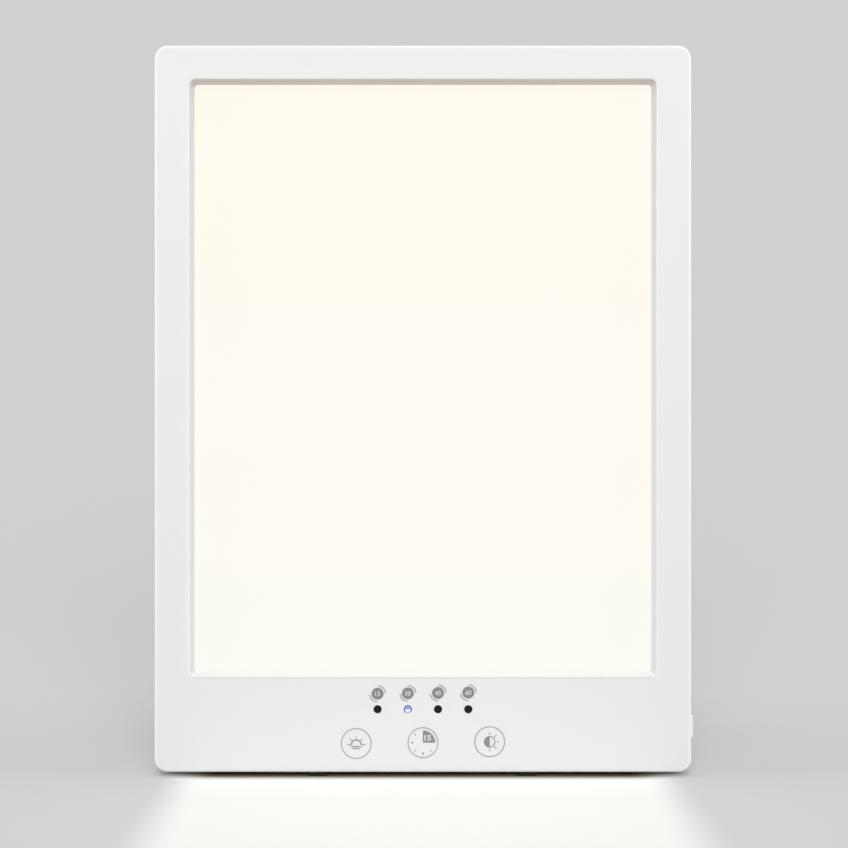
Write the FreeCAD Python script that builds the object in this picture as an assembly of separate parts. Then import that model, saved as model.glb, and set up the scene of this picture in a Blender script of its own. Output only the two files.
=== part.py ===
"""Light therapy lamp: a slim panel with a glowing front, leaning back on a fold-out rear leg.

Millimetres. The head is modelled upright in its own frame: x to the right, y from the front face
towards the rear, z up from the bottom edge. At the end the leg is swung open, and everything is
leaned back and stood on the plane z = 0, with the origin under the middle of the lamp.
"""
import FreeCAD, Part
import math
import os
from FreeCAD import Vector

# Head, overall
panel_width = 220.0
panel_height = 298.0
housing_depth = 8.0           # the front housing's side walls
cover_straight = 0.6          # the rear cover's side walls before they round over
rear_round = 13.4
corner_radius = 5.3
front_edge_round = 1.1
seam_chamfer = 0.3
wall = 2.2
lean = 10.0                   # degrees that the head leans back
floor_clearance = 0.3         # under the lowest point of the rear cover

# Light window in the front housing
side_margin = 13.95
top_margin = 13.6
chin_height = 39.4
window_corner = 2.7
opening_corner = 1.5         # corners of the opening at the recess's floor
recess_depth = 5.0
window_draft = 2.05           # how far the sides and the top lean in over the recess
sill_draft = 1.3
window_wall = 2.0
window_lip_round = 0.6

# Plates behind the window, from front to rear
plate_overlap = 2.4
plate_corner = 1.0
diffuser_thickness = 2.0
guide_thickness = 3.0
reflector_thickness = 0.3
tray_thickness = 1.2
tray_margin = 2.2             # tray past the plates, at top and bottom
tray_screw_inset = 34.0       # outer tray screws from the plates' ends
tray_ear_screw = 3.7          # tray screws past the tray's side flanges
tray_ear_root = 4.0           # how far an ear runs onto the tray
tray_ear_end = 3.2            # ear past its screw's middle
tray_ear_half = 5.0
tray_ear_round = 2.5
rib_gap = 0.3

# Light bars on the plates' left and right edges
chip_gap = 0.3
chip_height = 3.5
chip_width = 2.8
chip_thickness = 0.8
chip_count = 24
bar_thickness = 1.0
bar_front = 5.6
bar_rear = 10.1
bar_tail = 11.5               # length of the bar below the plates, for its leads
board_headroom = 3.5          # driver board's top edge under the plate rib

# Controls in the chin
touch_pitch = 27.35
touch_height = 12.2
touch_pad_radius = 4.5
lamp_pitch = 12.4             # indicator lamps
lamp_height = 25.8
lamp_count = 4
lens_radius = 1.65
lens_flange_radius = 2.3
lens_flange = 0.8
lens_sink = 0.1
board_thickness = 1.6
control_board_half_width = 41.0
control_board_bottom = 5.0
control_board_top = 31.0
control_board_round = 1.5
control_screw_inset = 3.0
control_connector_low = 14.0  # above the control board's bottom edge
control_connector_high = 20.0
control_connector_inset = 1.0
control_connector_width = 6.0
control_connector_depth = 3.2
led_radius = 1.5
led_length = 2.9
led_base = 0.6                # the wider foot of an indicator lamp
shield_margin = 4.4           # light shield past the outer lamps
shield_half_height = 3.3
lens_gap = 0.05
touch_pad_thickness = 4.0

# Power button on the right side wall
button_height = 18.3          # its middle, above the bottom edge
button_depth = 5.2            # its middle, behind the front face
button_tall = 9.4
button_wide = 4.2
button_proud = 1.0
button_travel = 0.7
button_flange = 0.6           # flange past the cap, front and rear
button_flange_tall = 1.5
button_flange_thickness = 1.9
button_round = 0.5
button_gap = 0.2              # round the cap in the side wall
plunger_radius = 1.4
plunger_gap = 0.1
plunger_free = 1.9            # plunger between the cap and the pressed-in switch
plunger_in = 1.5              # plunger inside the switch at rest
switch_length = 5.7
switch_half_tall = 3.0
switch_front = 2.1            # switch body in front of the plunger's axis

# Rear leg
leg_pin_height = 186.0
leg_angle = 20.0              # opening from folded to the stop
leg_thickness = 5.0
leg_half_width_top = 29.4
leg_half_width_foot = 36.4
leg_heel = 9.0                # leg past the pin, which bears on the stop
leg_skin = 2.0
leg_rib = 2.4
leg_end = 9.0                 # lower end of the leg's moulding when folded
leg_tongue = 4.0
tongue_half = 0.9
tongue_inset = 4.0            # tongue from the leg's sides
leg_straight = 10.0           # even width from the pin down
leg_bay_end = 8.0             # hollow's top below the pin
shoe_reach = 12.0             # shoe past the leg, before it is cut to the floor
grip_count = 4
grip_pitch = 3.6
grip_start = 16.0             # lowest grip ridge
grip_half_width = 15.0
grip_width = 1.4
grip_proud = 0.3
leg_edge_round = 0.8
leg_side_gap = 0.6
pin_radius = 1.5
pin_running_gap = 0.05
pin_seat_gap = 0.02
stop_gap = 0.02
pocket_sink = 0.4             # the folded leg lies this far under the cover's surface
pocket_floor_gap = 0.6
pocket_wall = 2.0
pocket_open_end = 5.0         # pocket cut past the cover's bottom edge
pocket_head_room = 1.0        # above the folded heel
heel_clearance = 0.22         # round the open heel's deepest corner
heel_wall = 1.45
heel_tub_drop = 6.0           # deep end of the tub starts this far below the pin
pin_block_depth = 4.4
pin_block_half = 5.0
scoop_radius = 11.0
scoop_lift = 6.5              # scoop's centre behind the cover
scoop_height = 30.0
scoop_aside = 1.5
scoop_backing_depth = 7.0
cover_rib_x = 70.0
cover_rib_width = 1.6
cover_rib_low = 27.7          # from the plates' ends
cover_rib_high = 52.8
pin_boss = 5.5

# Feet under the chin
foot_spacing = 43.05
foot_width = 7.4
foot_front = 1.6
foot_rear = 7.5
foot_recess = 0.8
foot_fit = 0.1
foot_drop = 6.0               # foot past the chin, before it is cut to the floor

# Power inlet
jack_aside = 16.5             # from the driver board's left edge
jack_height = 21.5
jack_side = 9.0
jack_nose_radius = 3.9
jack_bore_radius = 2.85
jack_bore_depth = 9.5
jack_pin_radius = 1.0
jack_stem_radius = 0.6        # the pin's stem, held in the inlet's body
jack_stem_length = 1.0
jack_hole_gap = 0.25
jack_inset = 0.2
jack_pin_inset = 0.5          # pin's tip inside the nose

# Driver board
driver_inset = 13.5           # from the lamp's left side
driver_width = 42.0
driver_bottom = 5.5
driver_front = 9.0
driver_screw_inset = 4.0
driver_screw_drop = 3.5       # upper screw under the board's top edge
driver_connector_inset = 1.5
driver_connector_width = 5.0
driver_connector_depth = 4.4
driver_connector_spans = [(7.0, 12.5), (14.5, 21.0)]  # heights above the board's bottom edge
inductor_place = (28.5, 16.5)  # middle, from the board's lower left corner
inductor_side = 10.0
inductor_base = 1.2
inductor_radius = 4.8
inductor_height = 5.4
capacitor_places = [(6.0, 10.5), (6.0, 19.5)]
capacitor_radius = 3.15
capacitor_height = 7.8
driver_chip_place = (27.0, 4.5)
driver_chip_size = (5.0, 4.0, 1.6)

# Switch board
switch_board_inset = 4.3      # from the housing's inner wall
switch_board_width = 13.5
switch_screw_aside = 3.3
switch_screw_inset = 2.8
switch_board_bottom = 9.0
switch_board_top = 25.0
switch_board_front = 7.3

# Screws and bosses
boss_split = 9.0              # where housing bosses and cover bosses meet
case_boss_radius = 3.25
case_cover_boss_radius = 4.1
case_seat = 13.0              # depth of the case screws' seats
case_screw_inset = 6.1
side_screw_low = 44.0
side_screw_drop = 98.0        # upper side screws below the top edge
top_screw_inset = 22.0        # top screws from the sides
bottom_screw_aside = 11.1     # bottom screws beside the leg's foot
case_head_radius = 2.75
case_shank_radius = 1.45
case_pilot_gap = 0.03
small_boss_radius = 2.5
small_head_radius = 2.0
small_shank_radius = 1.1
screw_hole_gap = 0.25
boss_bottom = 3.6             # pilot holes end this far behind the front face

# Vents
vent_width = 2.0
vent_length = 18.0
vent_pitch = 7.0
vent_top_count = 15
vent_top_drop = 43.0          # below the top edge
vent_side_count = 6
vent_side_inset = 36.5        # middle of a side group from the side
vent_side_height = 50.0

# Bare recess in the rear cover where a lamp of this kind carries its data plate
plate_recess_half = 35.0
plate_recess_low = 12.0        # above the leg pocket
plate_recess_tall = 26.0
plate_recess_depth = 0.3
plate_recess_round = 2.0

# Inner wires
lead_radius = 0.5
lead_bend = 2.5
short_lead_bend = 1.4
switch_lead_radius = 0.45
switch_lead_bend = 1.2

# Values that follow from the ones above
half_width = panel_width / 2
panel_depth = housing_depth + cover_straight + rear_round
inner_half_width = half_width - wall
inner_rear = panel_depth - wall
window_half_width = half_width - side_margin
window_bottom = chin_height
window_top = panel_height - top_margin
opening_half_width = window_half_width - window_draft
opening_bottom = window_bottom + sill_draft
opening_top = window_top - window_draft
plate_half_width = opening_half_width + plate_overlap
plate_bottom = opening_bottom - plate_overlap
plate_top = opening_top + plate_overlap
diffuser_rear = recess_depth + diffuser_thickness
guide_rear = diffuser_rear + guide_thickness
reflector_rear = guide_rear + reflector_thickness
tray_rear = reflector_rear + tray_thickness
chip_face = plate_half_width + chip_gap
bar_inner = chip_face + chip_thickness
bar_outer = bar_inner + bar_thickness
tray_half_width = bar_outer + tray_thickness
tray_bottom = plate_bottom - tray_margin
tray_top = plate_top + tray_margin
rib_top = plate_bottom - rib_gap
control_board_front = wall + touch_pad_thickness
control_board_rear = control_board_front + board_thickness
driver_rear = driver_front + board_thickness
switch_board_rear = switch_board_front + board_thickness
leg_rear = panel_depth - pocket_sink
leg_front = leg_rear - leg_thickness
leg_pin_depth = leg_rear - leg_thickness / 2
pocket_floor = leg_front - pocket_floor_gap
pocket_top = leg_pin_height + leg_heel + pocket_head_room
heel_depth = leg_thickness / 2 * math.cos(math.radians(leg_angle))
heel_depth = heel_depth + leg_heel * math.sin(math.radians(leg_angle)) + heel_clearance
tongue_middle = (leg_front + leg_rear) / 2
bar_low = plate_bottom - bar_tail
driver_left = driver_inset - half_width
driver_right = driver_left + driver_width
driver_top = rib_top - window_wall - board_headroom
jack_x = driver_left + jack_aside
switch_board_right = inner_half_width - switch_board_inset
switch_board_left = switch_board_right - switch_board_width
case_screw_x = half_width - case_screw_inset
side_screw_high = panel_height - side_screw_drop
top_screw_x = half_width - top_screw_inset
bottom_screw_x = leg_half_width_foot + bottom_screw_aside
case_screw_places = [
    (-case_screw_x, side_screw_low), (case_screw_x, side_screw_low),
    (-case_screw_x, side_screw_high), (case_screw_x, side_screw_high),
    (-top_screw_x, panel_height - case_screw_inset), (top_screw_x, panel_height - case_screw_inset),
    (-bottom_screw_x, case_screw_inset), (bottom_screw_x, case_screw_inset),
]
tray_screw_x = tray_half_width + tray_ear_screw
tray_screw_heights = [plate_bottom + tray_screw_inset, (plate_bottom + plate_top) / 2,
                      plate_top - tray_screw_inset]
control_screw_x = control_board_half_width - control_screw_inset
control_screw_heights = [control_board_bottom + control_screw_inset, control_board_top - control_screw_inset]
control_screw_places = [(x, z) for x in (-control_screw_x, control_screw_x) for z in control_screw_heights]
driver_screw_places = [
    (driver_left + driver_screw_inset, driver_bottom + driver_screw_inset),
    (driver_right - driver_screw_inset, driver_bottom + driver_screw_inset),
    (driver_right - driver_screw_inset, driver_top - driver_screw_drop),
]
switch_screw_places = [
    (switch_board_left + switch_screw_aside, switch_board_bottom + switch_screw_inset),
    (switch_board_left + switch_screw_aside, switch_board_top - switch_screw_inset),
]

lean_sin = math.sin(math.radians(lean))
lean_cos = math.cos(math.radians(lean))
round_centre_depth = housing_depth + cover_straight
head_lift = floor_clearance + rear_round + round_centre_depth * lean_sin - rear_round * lean_cos
pin_world_height = leg_pin_height * lean_cos - leg_pin_depth * lean_sin + head_lift
pin_world_depth = leg_pin_depth * lean_cos + leg_pin_height * lean_sin
leg_steepness = math.radians(leg_angle - lean)
leg_reach = pin_world_height / math.cos(leg_steepness)
base_rear = pin_world_depth + pin_world_height * math.tan(leg_steepness)
base_rear = base_rear + leg_thickness / 2 / math.cos(leg_steepness)
origin_shift = -base_rear / 2

X = Vector(1, 0, 0)
Y = Vector(0, 1, 0)


# Building blocks

def box(x0, x1, y0, y1, z0, z1):
    """A block between two corners."""
    return Part.makeBox(x1 - x0, y1 - y0, z1 - z0, Vector(x0, y0, z0))


def rod_y(x, z, radius, y0, y1):
    """A cylinder along the depth."""
    return Part.makeCylinder(radius, y1 - y0, Vector(x, y0, z), Y)


def rod_x(y, z, radius, x0, x1):
    """A cylinder across the width."""
    return Part.makeCylinder(radius, x1 - x0, Vector(x0, y, z), X)


def outline(x0, x1, z0, z1, radius, y):
    """A closed rectangle with round corners, in the plane at depth y."""
    bend = radius * (1 - math.sqrt(0.5))
    edges = [
        Part.LineSegment(Vector(x0 + radius, y, z0), Vector(x1 - radius, y, z0)),
        Part.Arc(Vector(x1 - radius, y, z0), Vector(x1 - bend, y, z0 + bend), Vector(x1, y, z0 + radius)),
        Part.LineSegment(Vector(x1, y, z0 + radius), Vector(x1, y, z1 - radius)),
        Part.Arc(Vector(x1, y, z1 - radius), Vector(x1 - bend, y, z1 - bend), Vector(x1 - radius, y, z1)),
        Part.LineSegment(Vector(x1 - radius, y, z1), Vector(x0 + radius, y, z1)),
        Part.Arc(Vector(x0 + radius, y, z1), Vector(x0 + bend, y, z1 - bend), Vector(x0, y, z1 - radius)),
        Part.LineSegment(Vector(x0, y, z1 - radius), Vector(x0, y, z0 + radius)),
        Part.Arc(Vector(x0, y, z0 + radius), Vector(x0 + bend, y, z0 + bend), Vector(x0 + radius, y, z0)),
    ]
    return Part.Wire([edge.toShape() for edge in edges])


def round_slab(x0, x1, z0, z1, radius, y0, y1):
    """A plate with round corners, from depth y0 to y1."""
    return Part.Face(outline(x0, x1, z0, z1, radius, y0)).extrude(Vector(0, y1 - y0, 0))


def polygon_slab(points, direction):
    """A prism on a closed list of points."""
    corners = [Vector(*point) for point in points]
    return Part.Face(Part.makePolygon(corners + corners[:1])).extrude(direction)


def edges_at_depth(shape, y):
    """The edges that lie wholly in the plane at depth y."""
    found = []
    for edge in shape.Edges:
        low, high = edge.BoundBox.YMin, edge.BoundBox.YMax
        if abs(low - y) < 1e-4 and abs(high - y) < 1e-4:
            found.append(edge)
    return found


def joined(shapes):
    """One solid out of several that overlap or touch."""
    whole = shapes[0]
    if len(shapes) > 1:
        whole = whole.fuse(shapes[1:])
    return whole.removeSplitter()


def mirrored(shape):
    """The same shape on the other side of the head's middle."""
    return shape.mirror(Vector(0, 0, 0), X)


def pan_head_screw(x, z, seat, tip, head_radius, shank_radius):
    """A screw driven from the rear: its head sits on the seat and its shank runs forward to the tip."""
    head_height = 0.7 * head_radius
    head = rod_y(x, z, head_radius, seat, seat + head_height)
    head = head.makeFillet(0.45 * head_height, edges_at_depth(head, seat + head_height))
    slot_half = 0.22 * head_radius
    slot_reach = 0.62 * head_radius
    slot_floor = seat + 0.4 * head_height
    cross = [
        box(x - slot_reach, x + slot_reach, slot_floor, seat + head_height + 1, z - slot_half, z + slot_half),
        box(x - slot_half, x + slot_half, slot_floor, seat + head_height + 1, z - slot_reach, z + slot_reach),
    ]
    shank = rod_y(x, z, shank_radius, tip, seat)
    point = edges_at_depth(shank, tip)
    shank = shank.makeChamfer(0.5 * shank_radius, point)
    return head.cut(joined(cross)).fuse(shank).removeSplitter()


def wire(points, radius, bend):
    """A round wire along straight runs joined by arcs of one bend radius."""
    corners = [Vector(*point) for point in points]
    edges = []
    start = corners[0]
    for before, corner, after in zip(corners, corners[1:], corners[2:]):
        into = (corner - before).normalize()
        out = (after - corner).normalize()
        turn = into.getAngle(out)
        cut = bend * math.tan(turn / 2)
        arc_start = corner - into * cut
        arc_end = corner + out * cut
        middle = (out - into).normalize()
        arc_middle = corner + middle * (bend / math.cos(turn / 2) - bend)
        edges.append(Part.LineSegment(start, arc_start).toShape())
        edges.append(Part.Arc(arc_start, arc_middle, arc_end).toShape())
        start = arc_end
    edges.append(Part.LineSegment(start, corners[-1]).toShape())
    path = Part.Wire(edges)
    first = (corners[1] - corners[0]).normalize()
    section = Part.Wire(Part.makeCircle(radius, corners[0], first))
    return path.makePipeShell([section], True, True)


# Front housing

def window_funnel(grow):
    """The window's opening, narrowing over the recess, made larger all round by grow."""
    front = outline(-window_half_width - grow, window_half_width + grow,
                    window_bottom - grow, window_top + grow, window_corner + grow, 0)
    rear = outline(-opening_half_width - grow, opening_half_width + grow,
                   opening_bottom - grow, opening_top + grow, opening_corner + grow, recess_depth)
    return Part.makeLoft([front, rear], True, True)


def housing_shell():
    """The bezel, the chin and the side walls, with the rounded front edge."""
    shell = round_slab(-half_width, half_width, 0, panel_height, corner_radius, 0, housing_depth)
    shell = shell.makeFillet(front_edge_round, edges_at_depth(shell, 0))
    shell = shell.makeChamfer(seam_chamfer, edges_at_depth(shell, housing_depth))
    cavity = round_slab(-inner_half_width, inner_half_width, wall, panel_height - wall,
                        corner_radius - wall, wall, housing_depth + 1)
    return shell.cut(cavity)


def plate_ribs():
    """Ribs above and below the plates, notched at the ends for the light bars."""
    reach = plate_half_width
    lower = box(-reach, reach, wall, reflector_rear, rib_top - window_wall, rib_top)
    upper_start = plate_top + rib_gap
    upper = box(-reach, reach, wall, reflector_rear, upper_start, upper_start + window_wall)
    return [lower, upper]


def boss(x, z, radius, top):
    """A round boss from the front wall's inside to a given depth."""
    return rod_y(x, z, radius, wall - 0.5, top)


def housing_bosses():
    """Every boss that stands on the front wall."""
    bosses = [boss(x, z, case_boss_radius, boss_split) for x, z in case_screw_places]
    for z in tray_screw_heights:
        bosses.append(boss(tray_screw_x, z, small_boss_radius + 0.3, reflector_rear))
        bosses.append(boss(-tray_screw_x, z, small_boss_radius + 0.3, reflector_rear))
    bosses += [boss(x, z, small_boss_radius, control_board_front) for x, z in control_screw_places]
    bosses += [boss(x, z, small_boss_radius, driver_front) for x, z in driver_screw_places]
    bosses += [boss(x, z, small_boss_radius, switch_board_front) for x, z in switch_screw_places]
    return bosses


def housing_pilots():
    """Pilot holes down every boss."""
    case_radius = case_shank_radius + case_pilot_gap
    small_radius = small_shank_radius + case_pilot_gap
    pilots = [rod_y(x, z, case_radius, boss_bottom, boss_split + 1) for x, z in case_screw_places]
    for z in tray_screw_heights:
        pilots.append(rod_y(tray_screw_x, z, small_radius, boss_bottom, reflector_rear + 1))
        pilots.append(rod_y(-tray_screw_x, z, small_radius, boss_bottom, reflector_rear + 1))
    for x, z in control_screw_places:
        pilots.append(rod_y(x, z, small_radius, wall + 0.6, control_board_front + 1))
    for x, z in driver_screw_places:
        pilots.append(rod_y(x, z, small_radius, boss_bottom, driver_front + 1))
    for x, z in switch_screw_places:
        pilots.append(rod_y(x, z, small_radius, wall + 0.6, switch_board_front + 1))
    return pilots


def lamp_places():
    """The x of each indicator lamp."""
    first = -lamp_pitch * (lamp_count - 1) / 2
    return [first + lamp_pitch * index for index in range(lamp_count)]


def button_opening():
    """The hole in the right side wall that the power button slides in."""
    half_wide = button_wide / 2 + button_gap
    half_tall = button_tall / 2 + button_gap
    return box(inner_half_width - 1, half_width + 1, button_depth - half_wide, button_depth + half_wide,
               button_height - half_tall, button_height + half_tall)


def foot_block(grow, low, high):
    """A foot's plan, from height low to high, made larger by grow."""
    return box(foot_spacing - foot_width / 2 - grow, foot_spacing + foot_width / 2 + grow,
               foot_front - grow, foot_rear + grow, low, high)


def front_housing():
    shell = joined([housing_shell(), window_funnel(window_wall)] + plate_ribs())
    shell = shell.cut(window_funnel(0))
    lip = [edge for edge in edges_at_depth(shell, 0) if in_window_outline(edge)]
    shell = shell.makeFillet(window_lip_round, lip)
    shell = joined([shell] + housing_bosses())
    cuts = housing_pilots()
    for x in lamp_places():
        cuts.append(rod_y(x, lamp_height, lens_radius + lens_gap, -1, wall + 1))
    cuts.append(button_opening())
    foot = foot_block(foot_fit, -1, foot_recess)
    cuts += [foot, mirrored(foot)]
    return shell.cut(cuts)


def in_window_outline(edge):
    """Whether an edge on the front face belongs to the window rather than to the outer outline."""
    middle = edge.BoundBox.Center
    inside_x = abs(middle.x) <= window_half_width + 0.01
    inside_z = window_bottom - 0.01 <= middle.z <= window_top + 0.01
    return inside_x and inside_z


# Plates, tray and light bars

def plate(y0, y1):
    """One plate of the stack behind the window."""
    return round_slab(-plate_half_width, plate_half_width, plate_bottom, plate_top, plate_corner, y0, y1)


def diffuser_plate():
    return plate(recess_depth, diffuser_rear)


def light_guide_plate():
    return plate(diffuser_rear, guide_rear)


def reflector_sheet():
    return plate(guide_rear, reflector_rear)


def backing_tray():
    """Folded sheet: a flat back, two side flanges that cool the light bars, and six screw ears."""
    back = box(-tray_half_width, tray_half_width, reflector_rear, tray_rear, tray_bottom, tray_top)
    flange = box(bar_outer, tray_half_width, bar_front, reflector_rear, plate_bottom, plate_top)
    parts = [back, flange, mirrored(flange)]
    holes = []
    for z in tray_screw_heights:
        ear = round_slab(tray_half_width - tray_ear_root, tray_screw_x + tray_ear_end, z - tray_ear_half,
                         z + tray_ear_half, tray_ear_round, reflector_rear, tray_rear)
        hole = rod_y(tray_screw_x, z, small_shank_radius + screw_hole_gap, reflector_rear - 1, tray_rear + 1)
        parts += [ear, mirrored(ear)]
        holes += [hole, mirrored(hole)]
    return joined(parts).cut(holes)


def led_board():
    """The right light bar: a thin board on edge, with a tail below the plates for its leads."""
    return box(bar_inner, bar_outer, bar_front, bar_rear, bar_low, plate_top)


def led_chips():
    """A row of small packages on the bar's inner face."""
    pitch = (plate_top - plate_bottom) / chip_count
    middle = (bar_front + bar_rear) / 2
    chips = []
    for index in range(chip_count):
        z = plate_bottom + pitch * (index + 0.5)
        chip = box(chip_face, bar_inner, middle - chip_width / 2, middle + chip_width / 2,
                   z - chip_height / 2, z + chip_height / 2)
        chips.append(chip)
    return chips


# Controls

def control_board():
    board = round_slab(-control_board_half_width, control_board_half_width, control_board_bottom,
                       control_board_top, control_board_round, control_board_front, control_board_rear)
    return board.cut(board_holes(control_screw_places, control_board_front, control_board_rear))


def board_holes(places, y0, y1):
    """Clearance holes through a board."""
    return [rod_y(x, z, small_shank_radius + screw_hole_gap, y0 - 1, y1 + 1) for x, z in places]


def touch_pads():
    """Soft conductive pads that carry a touch from the front wall to the board."""
    places = [-touch_pitch, 0, touch_pitch]
    return [rod_y(x, touch_height, touch_pad_radius, wall, control_board_front) for x in places]


def indicator_lens(x):
    """A smoked lens: a plug in the front wall with a flange behind it."""
    plug = rod_y(x, lamp_height, lens_radius, lens_sink, wall)
    plug = plug.makeFillet(0.3, edges_at_depth(plug, lens_sink))
    flange = rod_y(x, lamp_height, lens_flange_radius, wall, wall + lens_flange)
    return plug.fuse(flange).removeSplitter()


def indicator_leds():
    """Domed lamps on the control board, one behind each lens."""
    shoulder = control_board_front - led_base
    tip = control_board_front - led_length
    leds = []
    for x in lamp_places():
        base = rod_y(x, lamp_height, led_radius + 0.25, shoulder, control_board_front)
        body = rod_y(x, lamp_height, led_radius, tip, shoulder)
        body = body.makeFillet(led_radius * 0.9, edges_at_depth(body, tip))
        leds.append(base.fuse(body).removeSplitter())
    return leds


def indicator_light_shield():
    """A block with a hole round each lamp, so that none lights its neighbour's lens."""
    reach = lamp_pitch * (lamp_count - 1) / 2 + shield_margin
    block = box(-reach, reach, wall, control_board_front, lamp_height - shield_half_height,
                lamp_height + shield_half_height)
    return block.cut([rod_y(x, lamp_height, lens_flange_radius + 0.2, wall - 1, control_board_front + 1)
                      for x in lamp_places()])


def touch_chip():
    half = 3.5
    middle = (control_board_bottom + control_board_top) / 2
    return box(-half, half, control_board_rear, control_board_rear + 1.0, middle - half, middle + half)


def control_connectors():
    """The control board's two lead sockets, one at each end."""
    outer = control_lead_end()
    right = box(outer - control_connector_width, outer, control_board_rear,
                control_board_rear + control_connector_depth, control_board_bottom + control_connector_low,
                control_board_bottom + control_connector_high)
    return [mirrored(right), right]


def control_lead_end():
    """How far from the middle the leads enter the control board's sockets."""
    return control_board_half_width - control_connector_inset


# Power button

def power_button():
    """A cap in the side wall, with a flange inside the wall that stops it at rest."""
    flange_outer = inner_half_width
    flange_inner = flange_outer - button_flange_thickness
    cap_outer = half_width + button_proud
    half_wide = button_wide / 2
    half_tall = button_tall / 2
    cap = box(flange_outer - 0.5, cap_outer, button_depth - half_wide, button_depth + half_wide,
              button_height - half_tall, button_height + half_tall)
    long_edges = [edge for edge in cap.Edges if edge.BoundBox.XLength > 1]
    cap = cap.makeFillet(button_round * 2, long_edges)
    face_edges = [edge for edge in cap.Edges if edge.BoundBox.XMin > cap_outer - 0.01]
    cap = cap.makeFillet(button_round, face_edges)
    flange = box(flange_inner, flange_outer, button_depth - half_wide - button_flange,
                 button_depth + half_wide + button_flange, button_height - half_tall - button_flange_tall,
                 button_height + half_tall + button_flange_tall)
    return cap.fuse(flange).removeSplitter()


def button_back():
    """The x of the cap's inner face, where the plunger meets it."""
    return inner_half_width - button_flange_thickness


def switch_face():
    """The x of the switch body's face, where the plunger enters it."""
    return button_back() - plunger_free - button_travel


def switch_plunger():
    return rod_x(button_depth, button_height, plunger_radius, switch_face() - plunger_in, button_back())


def switch_body():
    face = switch_face()
    body = box(face - switch_length, face, button_depth - switch_front, switch_board_front,
               button_height - switch_half_tall, button_height + switch_half_tall)
    body = body.makeChamfer(0.4, [edge for edge in body.Edges if edge.BoundBox.YMax < button_depth])
    bore_end = face - plunger_in - button_travel - 0.3
    bore = rod_x(button_depth, button_height, plunger_radius + plunger_gap, bore_end, face + 1)
    return body.cut(bore)


def switch_board():
    board = box(switch_board_left, switch_board_right, switch_board_front, switch_board_rear,
                switch_board_bottom, switch_board_top)
    return board.cut(board_holes(switch_screw_places, switch_board_front, switch_board_rear))


# Driver board and power inlet

def driver_board():
    board = box(driver_left, driver_right, driver_front, driver_rear, driver_bottom, driver_top)
    return board.cut(board_holes(driver_screw_places, driver_front, driver_rear))


def on_driver_board(place):
    """A place given from the board's lower left corner, in the head's frame."""
    return driver_left + place[0], driver_bottom + place[1]


def driver_inductor():
    """A round wound inductor with a square base."""
    x, z = on_driver_board(inductor_place)
    half = inductor_side / 2
    seat = driver_rear + inductor_base
    top = driver_rear + inductor_height
    base = box(x - half, x + half, driver_rear, seat, z - half, z + half)
    drum = rod_y(x, z, inductor_radius, seat, top)
    drum = drum.makeFillet(0.8, edges_at_depth(drum, top))
    return base.fuse(drum).removeSplitter()


def driver_capacitors():
    """Two can capacitors on end."""
    cans = []
    for place in capacitor_places:
        x, z = on_driver_board(place)
        can = rod_y(x, z, capacitor_radius, driver_rear, driver_rear + capacitor_height)
        cans.append(can.makeFillet(0.5, edges_at_depth(can, driver_rear + capacitor_height)))
    return cans


def driver_chip():
    x, z = on_driver_board(driver_chip_place)
    long, tall, thick = driver_chip_size
    chip = box(x - long / 2, x + long / 2, driver_rear, driver_rear + thick, z - tall / 2, z + tall / 2)
    return chip.makeChamfer(0.3, edges_at_depth(chip, driver_rear + thick))


def driver_connectors():
    """Two lead sockets: one for the far light bar, one for the control board."""
    right = driver_lead_start()
    return [box(right - driver_connector_width, right, driver_rear, driver_rear + driver_connector_depth,
                driver_bottom + low, driver_bottom + high) for low, high in driver_connector_spans]


def driver_lead_start():
    """The x at which leads leave the driver board's sockets."""
    return driver_right - driver_connector_inset


def dc_jack():
    """The power inlet: a square body with a round nose that shows in the rear cover."""
    half = jack_side / 2
    body_rear = inner_rear - 0.2
    nose_rear = panel_depth - jack_inset
    body = box(jack_x - half, jack_x + half, driver_rear, body_rear, jack_height - half, jack_height + half)
    nose = rod_y(jack_x, jack_height, jack_nose_radius, body_rear - 0.5, nose_rear)
    bore = rod_y(jack_x, jack_height, jack_bore_radius, nose_rear - jack_bore_depth, nose_rear + 1)
    stem = jack_stem_radius + pin_seat_gap
    seat = rod_y(jack_x, jack_height, stem, nose_rear - jack_bore_depth - jack_stem_length, nose_rear)
    return body.fuse(nose).removeSplitter().cut([bore, seat])


def jack_pin():
    """The inlet's centre contact, rounded at its free end."""
    tip = panel_depth - jack_inset - jack_pin_inset
    root = panel_depth - jack_inset - jack_bore_depth
    pin = rod_y(jack_x, jack_height, jack_pin_radius, root, tip)
    pin = pin.makeFillet(0.35, edges_at_depth(pin, tip))
    stem = rod_y(jack_x, jack_height, jack_stem_radius, root - jack_stem_length, root)
    return pin.fuse(stem).removeSplitter()


# Leads

def led_lead_left():
    """Two short wires from the driver board to the near light bar."""
    depth = 6.8
    turn = driver_left + 3.3
    strands = []
    for z in (bar_low + 1.0, bar_low + 4.0):
        route = [(-bar_inner, depth, z), (turn, depth, z), (turn, driver_front, z)]
        strands.append(wire(route, lead_radius, short_lead_bend))
    return strands


def led_lead_right():
    """Two wires that cross the chin to the far light bar."""
    behind = 12.6
    bar_depth = 7.8
    low = driver_bottom + driver_connector_spans[0][0] + 1.5
    high = bar_low + 1.8
    top = bar_inner - 13.5
    foot = top - (high - low)
    strands = []
    for offset in (0.0, 2.2):
        route = [(driver_lead_start(), behind, low + offset), (foot, behind, low + offset),
                 (top, behind, high + offset), (top + 6.5, bar_depth, high + offset),
                 (bar_inner, bar_depth, high + offset)]
        strands.append(wire(route, lead_radius, lead_bend))
    return strands


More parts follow.
